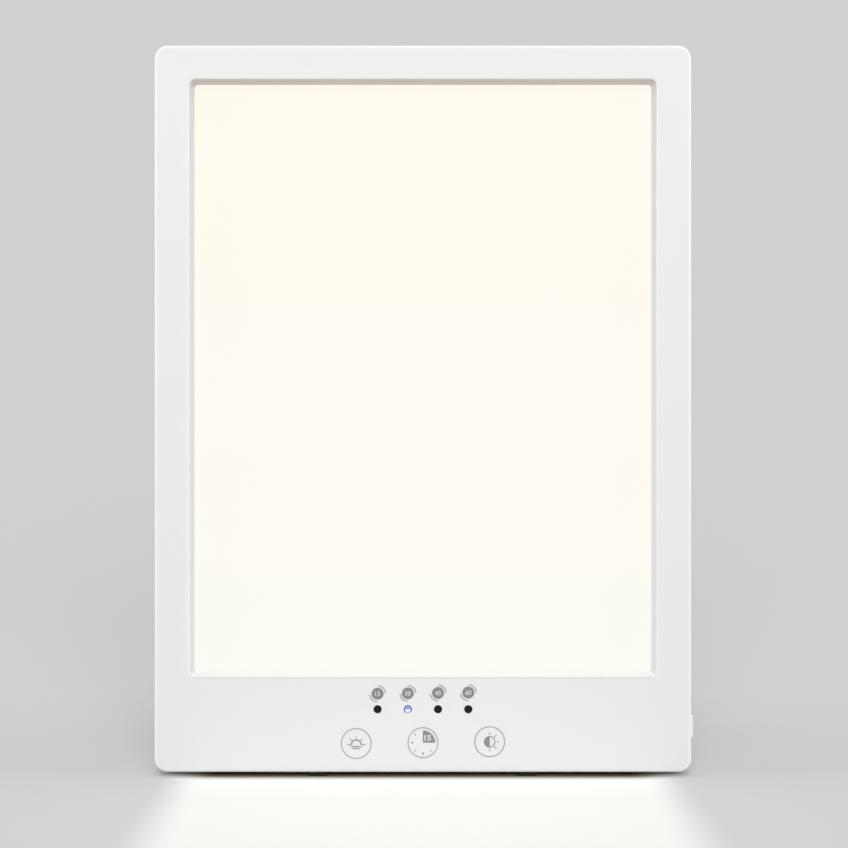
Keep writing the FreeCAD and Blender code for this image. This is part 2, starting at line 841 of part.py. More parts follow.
def control_lead():
    """Four wires from the driver board to the control board."""
    start = driver_lead_start()
    end = -control_lead_end()
    behind = 12.4
    level = control_board_rear + 1.6
    strands = []
    for index in range(4):
        z = driver_bottom + driver_connector_spans[1][0] + 0.4 + 1.3 * index
        route = [(start, behind, z), (start + 5, behind, z), (end - 6, level, z), (end, level, z)]
        strands.append(wire(route, lead_radius, lead_bend))
    return strands


def switch_lead():
    """Two wires from the control board to the switch board."""
    start = control_lead_end()
    level = control_board_rear + 1.6
    behind = switch_board_rear + 2.1
    strands = []
    for index in range(2):
        z = control_board_bottom + control_connector_low + 2.0 + 1.4 * index
        turn = switch_board_left + 8.5 - 1.6 * index
        route = [(start, level, z), (start + 3, level, z), (start + 8, behind, z), (turn, behind, z),
                 (turn, switch_board_rear, z)]
        strands.append(wire(route, switch_lead_radius, switch_lead_bend))
    return strands


# Rear leg, folded

def leg_half_width(z):
    """Half the leg's width at a height: even at the hinge, then widening to the foot."""
    start = leg_pin_height - leg_straight
    share = min(max((start - z) / (start - leg_end), 0), 1)
    return leg_half_width_top + (leg_half_width_foot - leg_half_width_top) * share


def leg_plan(grow, low, high, y0, y1):
    """The leg's outline between two heights, made wider by grow, as a slab from depth y0 to y1."""
    bend = leg_pin_height - leg_straight
    sides = [high, bend, low] if high > bend else [high, low]
    right = [(leg_half_width(z) + grow, y0, z) for z in sides]
    left = [(-x, y, z) for x, y, z in reversed(right)]
    return polygon_slab(right + left, Vector(0, y1 - y0, 0))


def stand_leg():
    """A moulded leg: a smooth rear skin, a rim, and ribs on the hidden side."""
    heel_top = leg_pin_height + leg_heel
    body = leg_plan(0, leg_end, heel_top, leg_front, leg_rear)
    rear_edges = [edge for edge in edges_at_depth(body, leg_rear) if edge.BoundBox.ZMax > leg_end + 0.01]
    body = body.makeFillet(leg_edge_round, rear_edges)
    bay_rear = leg_rear - leg_skin
    bay_top = leg_pin_height - leg_bay_end
    hollow = leg_plan(-leg_rib, leg_end + leg_rib, bay_top, leg_front - 1, bay_rear)
    ribs = [box(-leg_rib / 2, leg_rib / 2, leg_front, bay_rear, leg_end, bay_top)]
    for share in (0.25, 0.5, 0.75):
        z = leg_end + (bay_top - leg_end) * share
        ribs.append(box(-leg_half_width(z), leg_half_width(z), leg_front, bay_rear,
                        z - leg_rib / 2, z + leg_rib / 2))
    hollow = hollow.cut(ribs)
    bore = rod_x(leg_pin_depth, leg_pin_height, pin_radius + pin_running_gap, -half_width, half_width)
    return joined([body.cut(hollow), tongue(0.5)] + grip_ridges()).cut(bore)


def tongue(overrun):
    """The leg's tongue, which also shapes the shoe's slot. It runs into the leg by the overrun."""
    half = leg_half_width(leg_end) - tongue_inset
    return box(-half, half, tongue_middle - tongue_half, tongue_middle + tongue_half, leg_end - leg_tongue,
               leg_end + overrun)


def grip_ridges():
    """Low round-topped ridges across the leg's rear near the foot, to pull it open by."""
    ridges = []
    for index in range(grip_count):
        z = grip_start + grip_pitch * index
        ridge = box(-grip_half_width, grip_half_width, leg_rear - 0.5, leg_rear + grip_proud,
                    z - grip_width / 2, z + grip_width / 2)
        ridges.append(ridge.makeFillet(0.8 * grip_proud, edges_at_depth(ridge, leg_rear + grip_proud)))
    return ridges


def stand_foot_pad():
    """A rubber shoe on the leg's end. It reaches past the floor here and is cut flat at the end."""
    block = leg_plan(-1.0, leg_end - shoe_reach, leg_end, leg_front, leg_rear)
    sides = [edge for edge in block.Edges if edge.BoundBox.ZLength > 5]
    block = block.makeFillet(1.0, sides)
    return block.cut(tongue(1.0))


def stand_hinge_pin():
    reach = leg_half_width_top + leg_side_gap + pin_boss
    pin = rod_x(leg_pin_depth, leg_pin_height, pin_radius, -reach, reach)
    ends = [edge for edge in pin.Edges if edge.BoundBox.XLength < 0.01]
    return pin.makeChamfer(0.3, ends)


# Rear cover

def cover_block(inset):
    """The cover's rounded block, shrunk by inset on every side but the open one."""
    x = half_width - inset
    block = round_slab(-x, x, inset, panel_height - inset, corner_radius - inset, housing_depth,
                       panel_depth - inset)
    rear_edges = edges_at_depth(block, panel_depth - inset)
    return block.makeFillet(rear_round - inset, rear_edges)


def cover_lip():
    """A low lip that centres the cover inside the housing's walls, cut away at the bosses."""
    fit = 0.15
    thickness = 1.0
    x = inner_half_width - fit
    low = wall + fit
    high = panel_height - wall - fit
    radius = corner_radius - wall - fit
    lip = round_slab(-x, x, low, high, radius, housing_depth - 1.4, housing_depth + 1)
    hole = round_slab(-x + thickness, x - thickness, low + thickness, high - thickness, radius - thickness,
                      housing_depth - 2, housing_depth + 2)
    bridge = round_slab(-half_width + 0.5, half_width - 0.5, 0.5, panel_height - 0.5, corner_radius - 0.5,
                        housing_depth, housing_depth + 1)
    lip = lip.fuse(bridge).cut(hole)
    gaps = [rod_y(x, z, case_boss_radius + 0.3, housing_depth - 2, boss_split)
            for x, z in case_screw_places]
    button_room = box(half_width - 8, half_width - 0.5, housing_depth - 2, housing_depth + 0.3,
                      button_height - 8, button_height + 8)
    return lip.cut(gaps + [button_room])


def leg_pocket():
    """The space that the folded leg lies in, open at the bottom, with the heel's ramp above the pin."""
    room = leg_plan(leg_side_gap, -pocket_open_end, pocket_top, pocket_floor, panel_depth + 1)
    return joined([room, heel_ramp()])


def heel_ramp():
    """The wedge that the heel swings into. Its sloping face is the stop at the open angle."""
    angle = math.radians(leg_angle)
    offset = leg_thickness / 2 + stop_gap
    start = (offset * math.cos(angle) - (leg_pin_depth - pocket_floor)) / -math.sin(angle)
    end = (heel_depth - offset * math.cos(angle)) / math.sin(angle)
    reach = leg_half_width_top + leg_side_gap
    profile = []
    for along in (start, end):
        depth = leg_pin_depth - offset * math.cos(angle) - along * math.sin(angle)
        height = leg_pin_height - offset * math.sin(angle) + along * math.cos(angle)
        profile.append((-reach, depth, height))
    profile.append((-reach, leg_pin_depth - heel_depth, pocket_top))
    profile.append((-reach, leg_pin_depth, pocket_top))
    profile.append((-reach, leg_pin_depth, profile[0][2]))
    return polygon_slab(profile, Vector(2 * reach, 0, 0))


def pocket_tub():
    """The walls and floor round the pocket, inside the cover."""
    tub = leg_plan(leg_side_gap + pocket_wall, -pocket_open_end, pocket_top + pocket_wall,
                   pocket_floor - pocket_wall, panel_depth)
    heel_room = leg_half_width_top + leg_side_gap + pocket_wall
    heel = box(-heel_room, heel_room, leg_pin_depth - heel_depth - heel_wall, panel_depth,
               leg_pin_height - heel_tub_drop, pocket_top + pocket_wall)
    pin_reach = leg_half_width_top + leg_side_gap + pin_boss
    pin_block = box(-pin_reach, pin_reach, leg_pin_depth - pin_block_depth, panel_depth,
                    leg_pin_height - pin_block_half, leg_pin_height + pin_block_half)
    return joined([tub, heel, pin_block])


def thumb_scoops():
    """Two scoops beside the leg's lower end, to pull it out by."""
    scoops = []
    for side in (-1, 1):
        centre = Vector(side * (leg_half_width_foot + scoop_aside), panel_depth + scoop_lift, scoop_height)
        scoops.append(Part.makeSphere(scoop_radius, centre))
    return scoops


def scoop_backing():
    """Thicker wall behind each scoop."""
    blocks = []
    for side in (-1, 1):
        x = side * (leg_half_width_foot + scoop_aside)
        front = panel_depth - scoop_backing_depth
        blocks.append(rod_y(x, scoop_height, scoop_radius, front, panel_depth - 1))
    return blocks


def tray_ribs():
    """Two long ribs that keep the tray seated."""
    half = cover_rib_width / 2
    rib = box(cover_rib_x - half, cover_rib_x + half, tray_rear + rib_gap, inner_rear + 0.5,
              plate_bottom + cover_rib_low, plate_top - cover_rib_high)
    return [rib, mirrored(rib)]


def vent_slots():
    """Three groups of upright slots: one across the top, one each side lower down."""
    aside = half_width - vent_side_inset
    groups = [
        (0.0, vent_top_count, panel_height - vent_top_drop),
        (-aside, vent_side_count, vent_side_height),
        (aside, vent_side_count, vent_side_height),
    ]
    slots = []
    for middle, count, height in groups:
        first = middle - vent_pitch * (count - 1) / 2
        for index in range(count):
            x = first + vent_pitch * index
            slots.append(round_slab(x - vent_width / 2, x + vent_width / 2, height - vent_length / 2,
                                    height + vent_length / 2, vent_width / 2 - 0.05,
                                    inner_rear - 1, panel_depth + 1))
    return slots


def plate_recess():
    """A shallow bare field above the leg."""
    low = pocket_top + plate_recess_low
    return round_slab(-plate_recess_half, plate_recess_half, low, low + plate_recess_tall, plate_recess_round,
                      panel_depth - plate_recess_depth, panel_depth + 1)


def rear_cover():
    outer = cover_block(0)
    outer = outer.makeChamfer(seam_chamfer, edges_at_depth(outer, housing_depth))
    inner = cover_block(wall)
    inner = inner.fuse(round_slab(-inner_half_width, inner_half_width, wall, panel_height - wall,
                                  corner_radius - wall, housing_depth - 1, housing_depth + 0.1))
    shell = outer.cut(inner)
    inside = [pocket_tub()] + tray_ribs() + scoop_backing()
    inside += [rod_y(x, z, case_cover_boss_radius, boss_split, panel_depth) for x, z in case_screw_places]
    inside = joined(inside).common(outer)
    shell = joined([shell, inside, cover_lip()])
    cuts = [leg_pocket(), plate_recess()] + thumb_scoops() + vent_slots()
    for x, z in case_screw_places:
        cuts.append(rod_y(x, z, case_shank_radius + screw_hole_gap, boss_split - 1, case_seat + 1))
        cuts.append(rod_y(x, z, case_head_radius + 0.35, case_seat, panel_depth + 1))
    cuts.append(rod_y(jack_x, jack_height, jack_nose_radius + jack_hole_gap, inner_rear - 1, panel_depth + 1))
    pin_reach = leg_half_width_top + leg_side_gap + pin_boss
    cuts.append(rod_x(leg_pin_depth, leg_pin_height, pin_radius + pin_seat_gap, -pin_reach, pin_reach))
    return shell.cut(cuts)


# Feet and screws

def base_feet():
    """Rubber pads stuck in recesses under the chin, cut to the floor at the end."""
    foot = foot_block(0, -foot_drop, foot_recess)
    return [foot, mirrored(foot)]


def case_screws():
    return [pan_head_screw(x, z, case_seat, boss_bottom + 0.6, case_head_radius, case_shank_radius)
            for x, z in case_screw_places]


def tray_screws():
    places = [(side * tray_screw_x, z) for side in (-1, 1) for z in tray_screw_heights]
    return [pan_head_screw(x, z, tray_rear, 5.0, small_head_radius, small_shank_radius) for x, z in places]


def board_screws(places, seat, length):
    return [pan_head_screw(x, z, seat, seat - length, small_head_radius, small_shank_radius)
            for x, z in places]


# Placing and writing

def swung_open(shape):
    """Turn a folded leg piece to its open stop."""
    return turned(shape, Vector(0, leg_pin_depth, leg_pin_height), leg_angle)


def turned(shape, centre, degrees):
    placed = shape.copy()
    placed.rotate(centre, X, degrees)
    return placed


def stood_up(shape):
    """Lean a piece back with the head and lift it to stand on the floor."""
    placed = turned(shape, Vector(0, 0, 0), -lean)
    placed.translate(Vector(0, origin_shift, head_lift))
    return placed


def cut_to_floor(shape):
    below = Part.makeBox(600, 600, 100, Vector(-300, -300, -100))
    return shape.cut(below)


def head_point(x, y, z):
    """Where a point of the upright head ends up."""
    return Vector(x, y * lean_cos + z * lean_sin + origin_shift, z * lean_cos - y * lean_sin + head_lift)


def write(name, shapes):
    """Write one sub-part, which may be a group of like solids."""
    solids = []
    for shape in shapes:
        solids += shape.Solids
    group = solids[0] if len(solids) == 1 else Part.makeCompound(solids)
    valid = all(solid.isValid() for solid in solids)
    group.exportStep("parts/" + name + ".step")
    volume = sum(solid.Volume for solid in solids)
    print(f"{name:24s} solids {len(solids):3d}  volume {volume:10.1f}  valid {valid}")


def as_list(made):
    return made if isinstance(made, list) else [made]


def main():
    os.makedirs("parts", exist_ok=True)
    board = led_board()
    chips = led_chips()
    fixed = {
        "front_housing": front_housing(),
        "rear_cover": rear_cover(),
        "diffuser_plate": diffuser_plate(),
        "light_guide_plate": light_guide_plate(),
        "reflector_sheet": reflector_sheet(),
        "backing_tray": backing_tray(),
        "led_board_left": mirrored(board),
        "led_board_right": board,
        "led_chips_left": [mirrored(chip) for chip in chips],
        "led_chips_right": chips,
        "control_board": control_board(),
        "touch_pads": touch_pads(),
        "indicator_leds": indicator_leds(),
        "indicator_light_shield": indicator_light_shield(),
        "touch_chip": touch_chip(),
        "control_connectors": control_connectors(),
        "power_button": power_button(),
        "switch_plunger": switch_plunger(),
        "switch_body": switch_body(),
        "switch_board": switch_board(),
        "driver_board": driver_board(),
        "driver_inductor": driver_inductor(),
        "driver_capacitors": driver_capacitors(),
        "driver_chip": driver_chip(),
        "driver_connectors": driver_connectors(),
        "dc_jack": dc_jack(),
        "jack_pin": jack_pin(),
        "led_lead_left": led_lead_left(),
        "led_lead_right": led_lead_right(),
        "control_lead": control_lead(),
        "switch_lead": switch_lead(),
        "stand_hinge_pin": stand_hinge_pin(),
        "case_screws": case_screws(),
        "tray_screws": tray_screws(),
        "control_board_screws": board_screws(control_screw_places, control_board_rear, 4.6),
        "driver_board_screws": board_screws(driver_screw_places, driver_rear, 6.0),
        "switch_board_screws": board_screws(switch_screw_places, switch_board_rear, 5.5),
    }
    for number, x in enumerate(lamp_places(), 1):
        fixed[f"indicator_lens_{number}"] = indicator_lens(x)
    for name, made in fixed.items():
        write(name, [stood_up(shape) for shape in as_list(made)])
    write("base_feet", [cut_to_floor(stood_up(foot)) for foot in base_feet()])
    write("stand_leg", [stood_up(swung_open(stand_leg()))])
    write("stand_foot_pad", [cut_to_floor(stood_up(swung_open(stand_foot_pad())))])

    print("leg pin at", head_point(0, leg_pin_depth, leg_pin_height))
    print("button at", head_point(half_width + button_proud, button_depth, button_height))
    print("jack pin middle at", head_point(jack_x, panel_depth - jack_inset - 5, jack_height))
    print("jack axis", Vector(0, lean_cos, -lean_sin))
    print("foot middle at", head_point(foot_spacing, (foot_front + foot_rear) / 2, 0))
    print("head lift", head_lift, "origin shift", origin_shift, "leg reach", leg_reach)


main()
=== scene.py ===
# %% [markdown]
# A light therapy lamp: a slim white panel with a glowing window, leaning back on a fold-out leg.
# The panel, the leg, the button and everything inside already exist as solids at their real size.
# This lesson gives each of them its finish, prints the marks on the chin, and lights and frames the lamp.

# %% Load the frame
import math

import bmesh
import bpy
import mathutils
import numpy as np
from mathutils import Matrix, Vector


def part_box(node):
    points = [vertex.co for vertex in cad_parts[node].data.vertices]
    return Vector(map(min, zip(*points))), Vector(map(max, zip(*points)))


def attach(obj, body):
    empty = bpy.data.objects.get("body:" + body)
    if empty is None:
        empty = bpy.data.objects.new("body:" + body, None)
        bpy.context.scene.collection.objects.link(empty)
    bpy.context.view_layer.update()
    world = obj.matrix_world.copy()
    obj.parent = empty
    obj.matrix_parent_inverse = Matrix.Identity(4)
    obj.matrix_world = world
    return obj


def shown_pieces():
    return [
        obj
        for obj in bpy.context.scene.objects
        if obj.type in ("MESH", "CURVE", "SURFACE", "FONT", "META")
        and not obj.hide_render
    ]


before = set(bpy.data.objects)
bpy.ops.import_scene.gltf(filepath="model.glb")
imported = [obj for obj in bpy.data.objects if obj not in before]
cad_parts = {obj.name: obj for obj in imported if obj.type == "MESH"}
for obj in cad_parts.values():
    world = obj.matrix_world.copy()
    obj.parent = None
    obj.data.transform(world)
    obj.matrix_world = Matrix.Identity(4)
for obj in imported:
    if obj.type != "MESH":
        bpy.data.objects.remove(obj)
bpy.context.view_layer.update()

# %% [markdown]
# The panel leans back by ten degrees, so a mark on its face is easier to place in the panel's own frame:
# x to the right, y from the front face towards the rear and z up from the bottom edge. Only the lean is
# written here. Where that frame starts is measured on the front housing's own points.

# %% The panel's own frame
MM = 0.001
LEAN = math.radians(10.0)
PANEL_INWARD = (0.0, math.cos(LEAN), -math.sin(LEAN))
PANEL_UP = (0.0, math.sin(LEAN), math.cos(LEAN))


def points_of(name):
    """All points of a CAD node as an array of rows x, y, z."""
    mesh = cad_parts[name].data
    flat = np.empty(len(mesh.vertices) * 3, dtype=np.float32)
    mesh.vertices.foreach_get("co", flat)
    return flat.reshape(-1, 3).astype(float)


def turned_back(points):
    """World points with the lean undone: y and z turn about the x axis by the lean."""
    x, y, z = points.T
    return np.stack([x, y * math.cos(LEAN) - z * math.sin(LEAN), y * math.sin(LEAN) + z * math.cos(LEAN)], 1)


PANEL_START = turned_back(points_of("front_housing")).min(axis=0) * [0, 1, 1]


def to_panel(points):
    """World points in the panel's frame."""
    return turned_back(points) - PANEL_START


def to_world(points):
    """Panel points in the world: add the start, then turn y and z about the x axis by the lean."""
    x, y, z = (np.asarray(points, dtype=float) + PANEL_START).T
    return np.stack([x, y * math.cos(LEAN) + z * math.sin(LEAN), z * math.cos(LEAN) - y * math.sin(LEAN)], 1)


def panel_box(name):
    """The low and high corners of a CAD node in the panel's frame."""
    points = to_panel(points_of(name))
    return points.min(axis=0), points.max(axis=0)


print("front housing in the panel's frame, mm", (np.array(panel_box("front_housing")) / MM).round(2).tolist())

# %% [markdown]
# A finish is a small network of shader nodes. The helpers below keep each network readable: they add a
# node with its settings and inputs, do a sum, measure along a direction, blend two colours, ramp a colour
# over a value or step softly from nought to one. A colour is written as it looks on screen, from 0 to
# 255, and is turned into the linear value that a shader uses.

# %% Colours, nodes and sums


def colour(red, green, blue):
    """Linear colour of a screen colour: each channel goes through the standard screen curve."""
    steps = np.array([red, green, blue]) / 255
    linear = np.where(steps <= 0.04045, steps / 12.92, ((steps + 0.055) / 1.055) ** 2.4)
    return (*linear.tolist(), 1.0)


def add(tree, kind, inputs=None, **properties):
    """Add a node. An input given as a socket is linked, and any other value is set on the socket."""
    node = tree.nodes.new(kind)
    for name, value in properties.items():
        setattr(node, name, value)
    for name, value in (inputs or {}).items():
        if isinstance(value, bpy.types.NodeSocket):
            tree.links.new(value, node.inputs[name])
        else:
            node.inputs[name].default_value = value
    return node


def calc(tree, operation, first, second=0.0, third=0.5, clamp=False):
    """The result of one sum on numbers. Only a few sums use the second and third."""
    node = add(tree, "ShaderNodeMath", {0: first, 1: second, 2: third}, operation=operation, use_clamp=clamp)
    return node.outputs[0]


def product(tree, first, *others):
    """Masks times each other: one only where every mask is one."""
    for other in others:
        first = calc(tree, "MULTIPLY", first, other)
    return first


def along(tree, vector, way):
    """How far a vector reaches along a direction of length one."""
    return add(tree, "ShaderNodeVectorMath", {0: vector, 1: way}, operation="DOT_PRODUCT").outputs["Value"]


def axes(tree, vector):
    """The X, Y and Z of a vector."""
    return add(tree, "ShaderNodeSeparateXYZ", {"Vector": vector}).outputs


print("a middle grey is", round(colour(128, 128, 128)[0], 3), "to a shader")

# %% Blends, ramps and soft steps


def blend_colours(tree, share, first, second):
    """A colour between two others."""
    mix = add(tree, "ShaderNodeMix", {0: share, 6: first, 7: second}, data_type="RGBA")
    return mix.outputs[2]


def ramp(tree, value, stops):
    """A colour ramp over a list of (position, colour)."""
    node = add(tree, "ShaderNodeValToRGB", {"Fac": value})
    bar = node.color_ramp
    while len(bar.elements) < len(stops):
        bar.elements.new(0.5)
    for element, (position, shade) in zip(bar.elements, stops):
        element.position = position
        element.color = shade
    return node.outputs["Color"]


def bump(tree, height, distance):
    """A normal that is tilted by a height."""
    return add(tree, "ShaderNodeBump", {"Height": height, "Distance": distance}).outputs["Normal"]


def soft_step(tree, value, edge, softness):
    """Nought below the edge and one above it, smooth over the softness."""
    ends = {"Value": value, "From Min": edge - softness, "From Max": edge + softness}
    return add(tree, "ShaderNodeMapRange", ends, interpolation_type="SMOOTHSTEP").outputs[0]


def soft_fall(tree, value, edge, softness):
    """One below the edge and nought above it, smooth over the softness."""
    return calc(tree, "SUBTRACT", 1.0, soft_step(tree, value, edge, softness))


# %% An empty finish and the point it shades


def new_finish(name, **sockets):
    """A material, its node tree and its main shader, with the shader's plain values set."""
    material = bpy.data.materials.new(name)
    material.use_nodes = True
    tree = material.node_tree
    shader = tree.nodes["Principled BSDF"]
    for socket, value in sockets.items():
        shader.inputs[socket.replace("_", " ")].default_value = value
    return material, tree, shader


def place(tree):
    """The point being shaded, in the object's own metres."""
    return add(tree, "ShaderNodeTexCoord").outputs["Object"]


# %% [markdown]
# Four effects turn up on several finishes, so each is a node group that is built once: the fine grain of
# a moulded surface, the dust that settles on faces that look up, the rubbed look of outer edges, and the
# long fine lines of drawn or rolled metal. A group only puts out masks and heights. The shader itself
# stays in each material.

# %% Fine grain


def new_group(name, inputs, outputs):
    """A node group with number or vector inputs and number outputs."""
    tree = bpy.data.node_groups.new(name, "ShaderNodeTree")
    for label, (kind, value) in inputs.items():
        socket = tree.interface.new_socket(label, in_out="INPUT", socket_type=kind)
        if value is not None:
            socket.default_value = value
    for label in outputs:
        tree.interface.new_socket(label, in_out="OUTPUT", socket_type="NodeSocketFloat")
    return tree, tree.nodes.new("NodeGroupInput"), tree.nodes.new("NodeGroupOutput")


def mould_grain_group():
    """Height: fine noise and a coarser one, seven to three. Tint: slow, cloudy noise from 0 to 1."""
    tree, entry, leave = new_group(
        "mould grain",
        {"Vector": ("NodeSocketVector", None), "Scale": ("NodeSocketFloat", 2500.0)},
        ["Height", "Tint"])
    spot, scale = entry.outputs["Vector"], entry.outputs["Scale"]
    fine = add(tree, "ShaderNodeTexNoise", {"Vector": spot, "Scale": scale, "Detail": 2.0, "Roughness": 0.6})
    middle = add(tree, "ShaderNodeTexNoise", {"Vector": spot, "Detail": 1.0,
                                              "Scale": calc(tree, "MULTIPLY", scale, 0.23)})
    cloud = add(tree, "ShaderNodeTexNoise", {"Vector": spot, "Detail": 3.0,
                                             "Scale": calc(tree, "MULTIPLY", scale, 0.006)})
    height = calc(tree, "ADD", calc(tree, "MULTIPLY", fine.outputs[0], 0.7),
                  calc(tree, "MULTIPLY", middle.outputs[0], 0.3))
    tree.links.new(height, leave.inputs["Height"])
    tree.links.new(cloud.outputs[0], leave.inputs["Tint"])
    return tree


# %% Dust and rubbed edges


def settled_dust_group():
    """Mask: how far the face looks up, to the third power, times a patchy noise."""
    tree, entry, leave = new_group(
        "settled dust",
        {"Vector": ("NodeSocketVector", None), "Scale": ("NodeSocketFloat", 90.0)},
        ["Mask"])
    normal = add(tree, "ShaderNodeNewGeometry").outputs["Normal"]
    patches = add(tree, "ShaderNodeTexNoise", {"Vector": entry.outputs["Vector"], "Detail": 6.0,
                                               "Scale": entry.outputs["Scale"], "Roughness": 0.7})
    faced = calc(tree, "POWER", calc(tree, "MAXIMUM", axes(tree, normal)["Z"], 0.0), 3.0)
    tree.links.new(calc(tree, "MULTIPLY", faced, patches.outputs[0]), leave.inputs["Mask"])
    return tree


def rubbed_edge_group():
    """Mask: how far the normal, averaged over a small radius, leaves the true one, broken up by noise."""
    tree, entry, leave = new_group(
        "rubbed edge",
        {"Vector": ("NodeSocketVector", None), "Radius": ("NodeSocketFloat", 0.6 * MM)},
        ["Mask"])
    rounded = add(tree, "ShaderNodeBevel", {"Radius": entry.outputs["Radius"]}, samples=4)
    true = add(tree, "ShaderNodeNewGeometry").outputs["True Normal"]
    agree = add(tree, "ShaderNodeVectorMath", {0: rounded.outputs[0], 1: true}, operation="DOT_PRODUCT")
    leaves = calc(tree, "SUBTRACT", 1.0, agree.outputs["Value"])
    patches = add(tree, "ShaderNodeTexNoise", {"Vector": entry.outputs["Vector"], "Scale": 400.0,
                                               "Detail": 4.0})
    mask = calc(tree, "MULTIPLY", calc(tree, "MULTIPLY", leaves, 4.0, clamp=True), patches.outputs[0])
    tree.links.new(mask, leave.inputs["Mask"])
    return tree


# %% Drawn lines, and how an effect is placed


def drawn_lines_group():
    """Height and Tint: noise that is stretched fifty times along the Vector's x."""
    tree, entry, leave = new_group(
        "drawn lines",
        {"Vector": ("NodeSocketVector", None), "Scale": ("NodeSocketFloat", 3000.0)},
        ["Height", "Tint"])
    stretched = add(tree, "ShaderNodeVectorMath", {0: entry.outputs["Vector"], 1: (0.02, 1.0, 1.0)},
                    operation="MULTIPLY")
    lines = add(tree, "ShaderNodeTexNoise", {"Vector": stretched.outputs[0], "Scale": entry.outputs["Scale"],
                                             "Detail": 3.0, "Roughness": 0.65})
    slow = add(tree, "ShaderNodeTexNoise", {"Vector": stretched.outputs[0], "Detail": 1.0,
                                            "Scale": calc(tree, "MULTIPLY", entry.outputs["Scale"], 0.1)})
    tree.links.new(lines.outputs[0], leave.inputs["Height"])
    tree.links.new(slow.outputs[0], leave.inputs["Tint"])
    return tree


MOULD_GRAIN = mould_grain_group()
SETTLED_DUST = settled_dust_group()
RUBBED_EDGE = rubbed_edge_group()
DRAWN_LINES = drawn_lines_group()
print("effects", [group.name for group in bpy.data.node_groups])


def effect(tree, group, **inputs):
    """Place an effect in a material and give back its outputs."""
    node = add(tree, "ShaderNodeGroup", node_tree=group)
    tree.links.new(place(tree), node.inputs["Vector"])
    for name, value in inputs.items():
        node.inputs[name].default_value = value
    return node.outputs


# %% [markdown]
# The casing is white moulded plastic with a fine spark-eroded grain, which spreads the light so evenly
# that the face looks almost flat. Three things keep it from looking like paper: the grain in the normal,
# a slow drift of the tint, and a roughness that drops a little where hands rub the edges. Light also goes
# a little way into the front moulding, which softens its edges.

# %% Moulded plastics
DUST_SHADE = colour(196, 190, 180)
ROUGHNESS_SPREAD = 0.08
RUBBED_SMOOTHER = 0.12


def moulded_plastic(name, shade, roughness, grain_scale=2600.0, grain_depth=0.03 * MM, dust=0.05, drift=0.02,
                    painted_shade=None):
    """Moulded plastic: a base shade that drifts slightly, a fine grain, rubbed edges and a trace of dust.

    A painted shade, where given, takes the tree and the body colour, and gives back the colour with that
    shade painted in."""
    material, tree, shader = new_finish(name, Roughness=roughness, IOR=1.49, Specular_IOR_Level=0.45)
    grain = effect(tree, MOULD_GRAIN, Scale=grain_scale)
    settled = effect(tree, SETTLED_DUST)["Mask"]
    rubbed = effect(tree, RUBBED_EDGE, Radius=0.5 * MM)["Mask"]
    base = colour(*shade)
    darker = tuple(channel * (1 - drift) for channel in base[:3]) + (1.0,)
    body = blend_colours(tree, grain["Tint"], darker, base)
    if painted_shade:
        body = painted_shade(tree, body)
    dusty = blend_colours(tree, calc(tree, "MULTIPLY", settled, dust), body, DUST_SHADE)
    tree.links.new(dusty, shader.inputs["Base Color"])
    varied = calc(tree, "MULTIPLY_ADD", grain["Tint"], ROUGHNESS_SPREAD, roughness - ROUGHNESS_SPREAD / 2)
    smoother = calc(tree, "MULTIPLY", rubbed, RUBBED_SMOOTHER)
    tree.links.new(calc(tree, "SUBTRACT", varied, smoother), shader.inputs["Roughness"])
    tree.links.new(bump(tree, grain["Height"], grain_depth), shader.inputs["Normal"])
    return material


# %% [markdown]
# The window is sunk into the front, and little light reaches the walls round it. A shadow that fine would
# need many lights to come out right, so the walls have their shadow painted into the casing's colour
# instead. The front is also painted a shade darker towards the chin, and a thin line of painted shade lies
# just under the window's lower edge. A wall is found by where it lies in the panel's frame and by where its
# normal points, so no part of the mesh is marked by hand.

# %% Painted shade on the front
REVEAL_MARGIN = 0.5 * MM
REVEAL_START = 0.4 * MM
SIDE_WALL_TURN = 0.6
HEAD_WALL_TURN = -0.4
# Painted shade: the front goes darker towards the chin, up to this share of the shade below.
PAINTED_CHIN_SHADE_SHARE = 0.9
PAINTED_CHIN_SHADE = colour(234, 234, 234)
# Painted shadow on the walls round the window: the side walls, and deeper and warmer on the wall that looks
# down.
PAINTED_SIDE_WALL_SHADE = colour(213, 214, 214)
PAINTED_HEAD_WALL_SHADE = colour(212, 201, 197)
# Painted shade in a thin line on the front face, just under the window's lower edge.
PAINTED_SILL_SHADE = colour(226, 226, 226)
SILL_SHADE_HEIGHT = 38.67 * MM
SILL_SHADE_HALF = 0.45 * MM
SILL_SHADE_REACH = 94.0 * MM
SILL_SHADE_FADE = 1.5 * MM


def painted_sill_mask(tree, across, depth, height):
    """A thin painted shade just under the window's lower edge, on the front face only."""
    away = calc(tree, "ABSOLUTE", calc(tree, "SUBTRACT", height, PANEL_START[2] + SILL_SHADE_HEIGHT))
    near = soft_fall(tree, away, SILL_SHADE_HALF, SILL_SHADE_HALF / 3)
    on_face = calc(tree, "LESS_THAN", depth, PANEL_START[1] + REVEAL_START)
    under_window = soft_fall(tree, across, SILL_SHADE_REACH, SILL_SHADE_FADE)
    return product(tree, near, on_face, under_window)


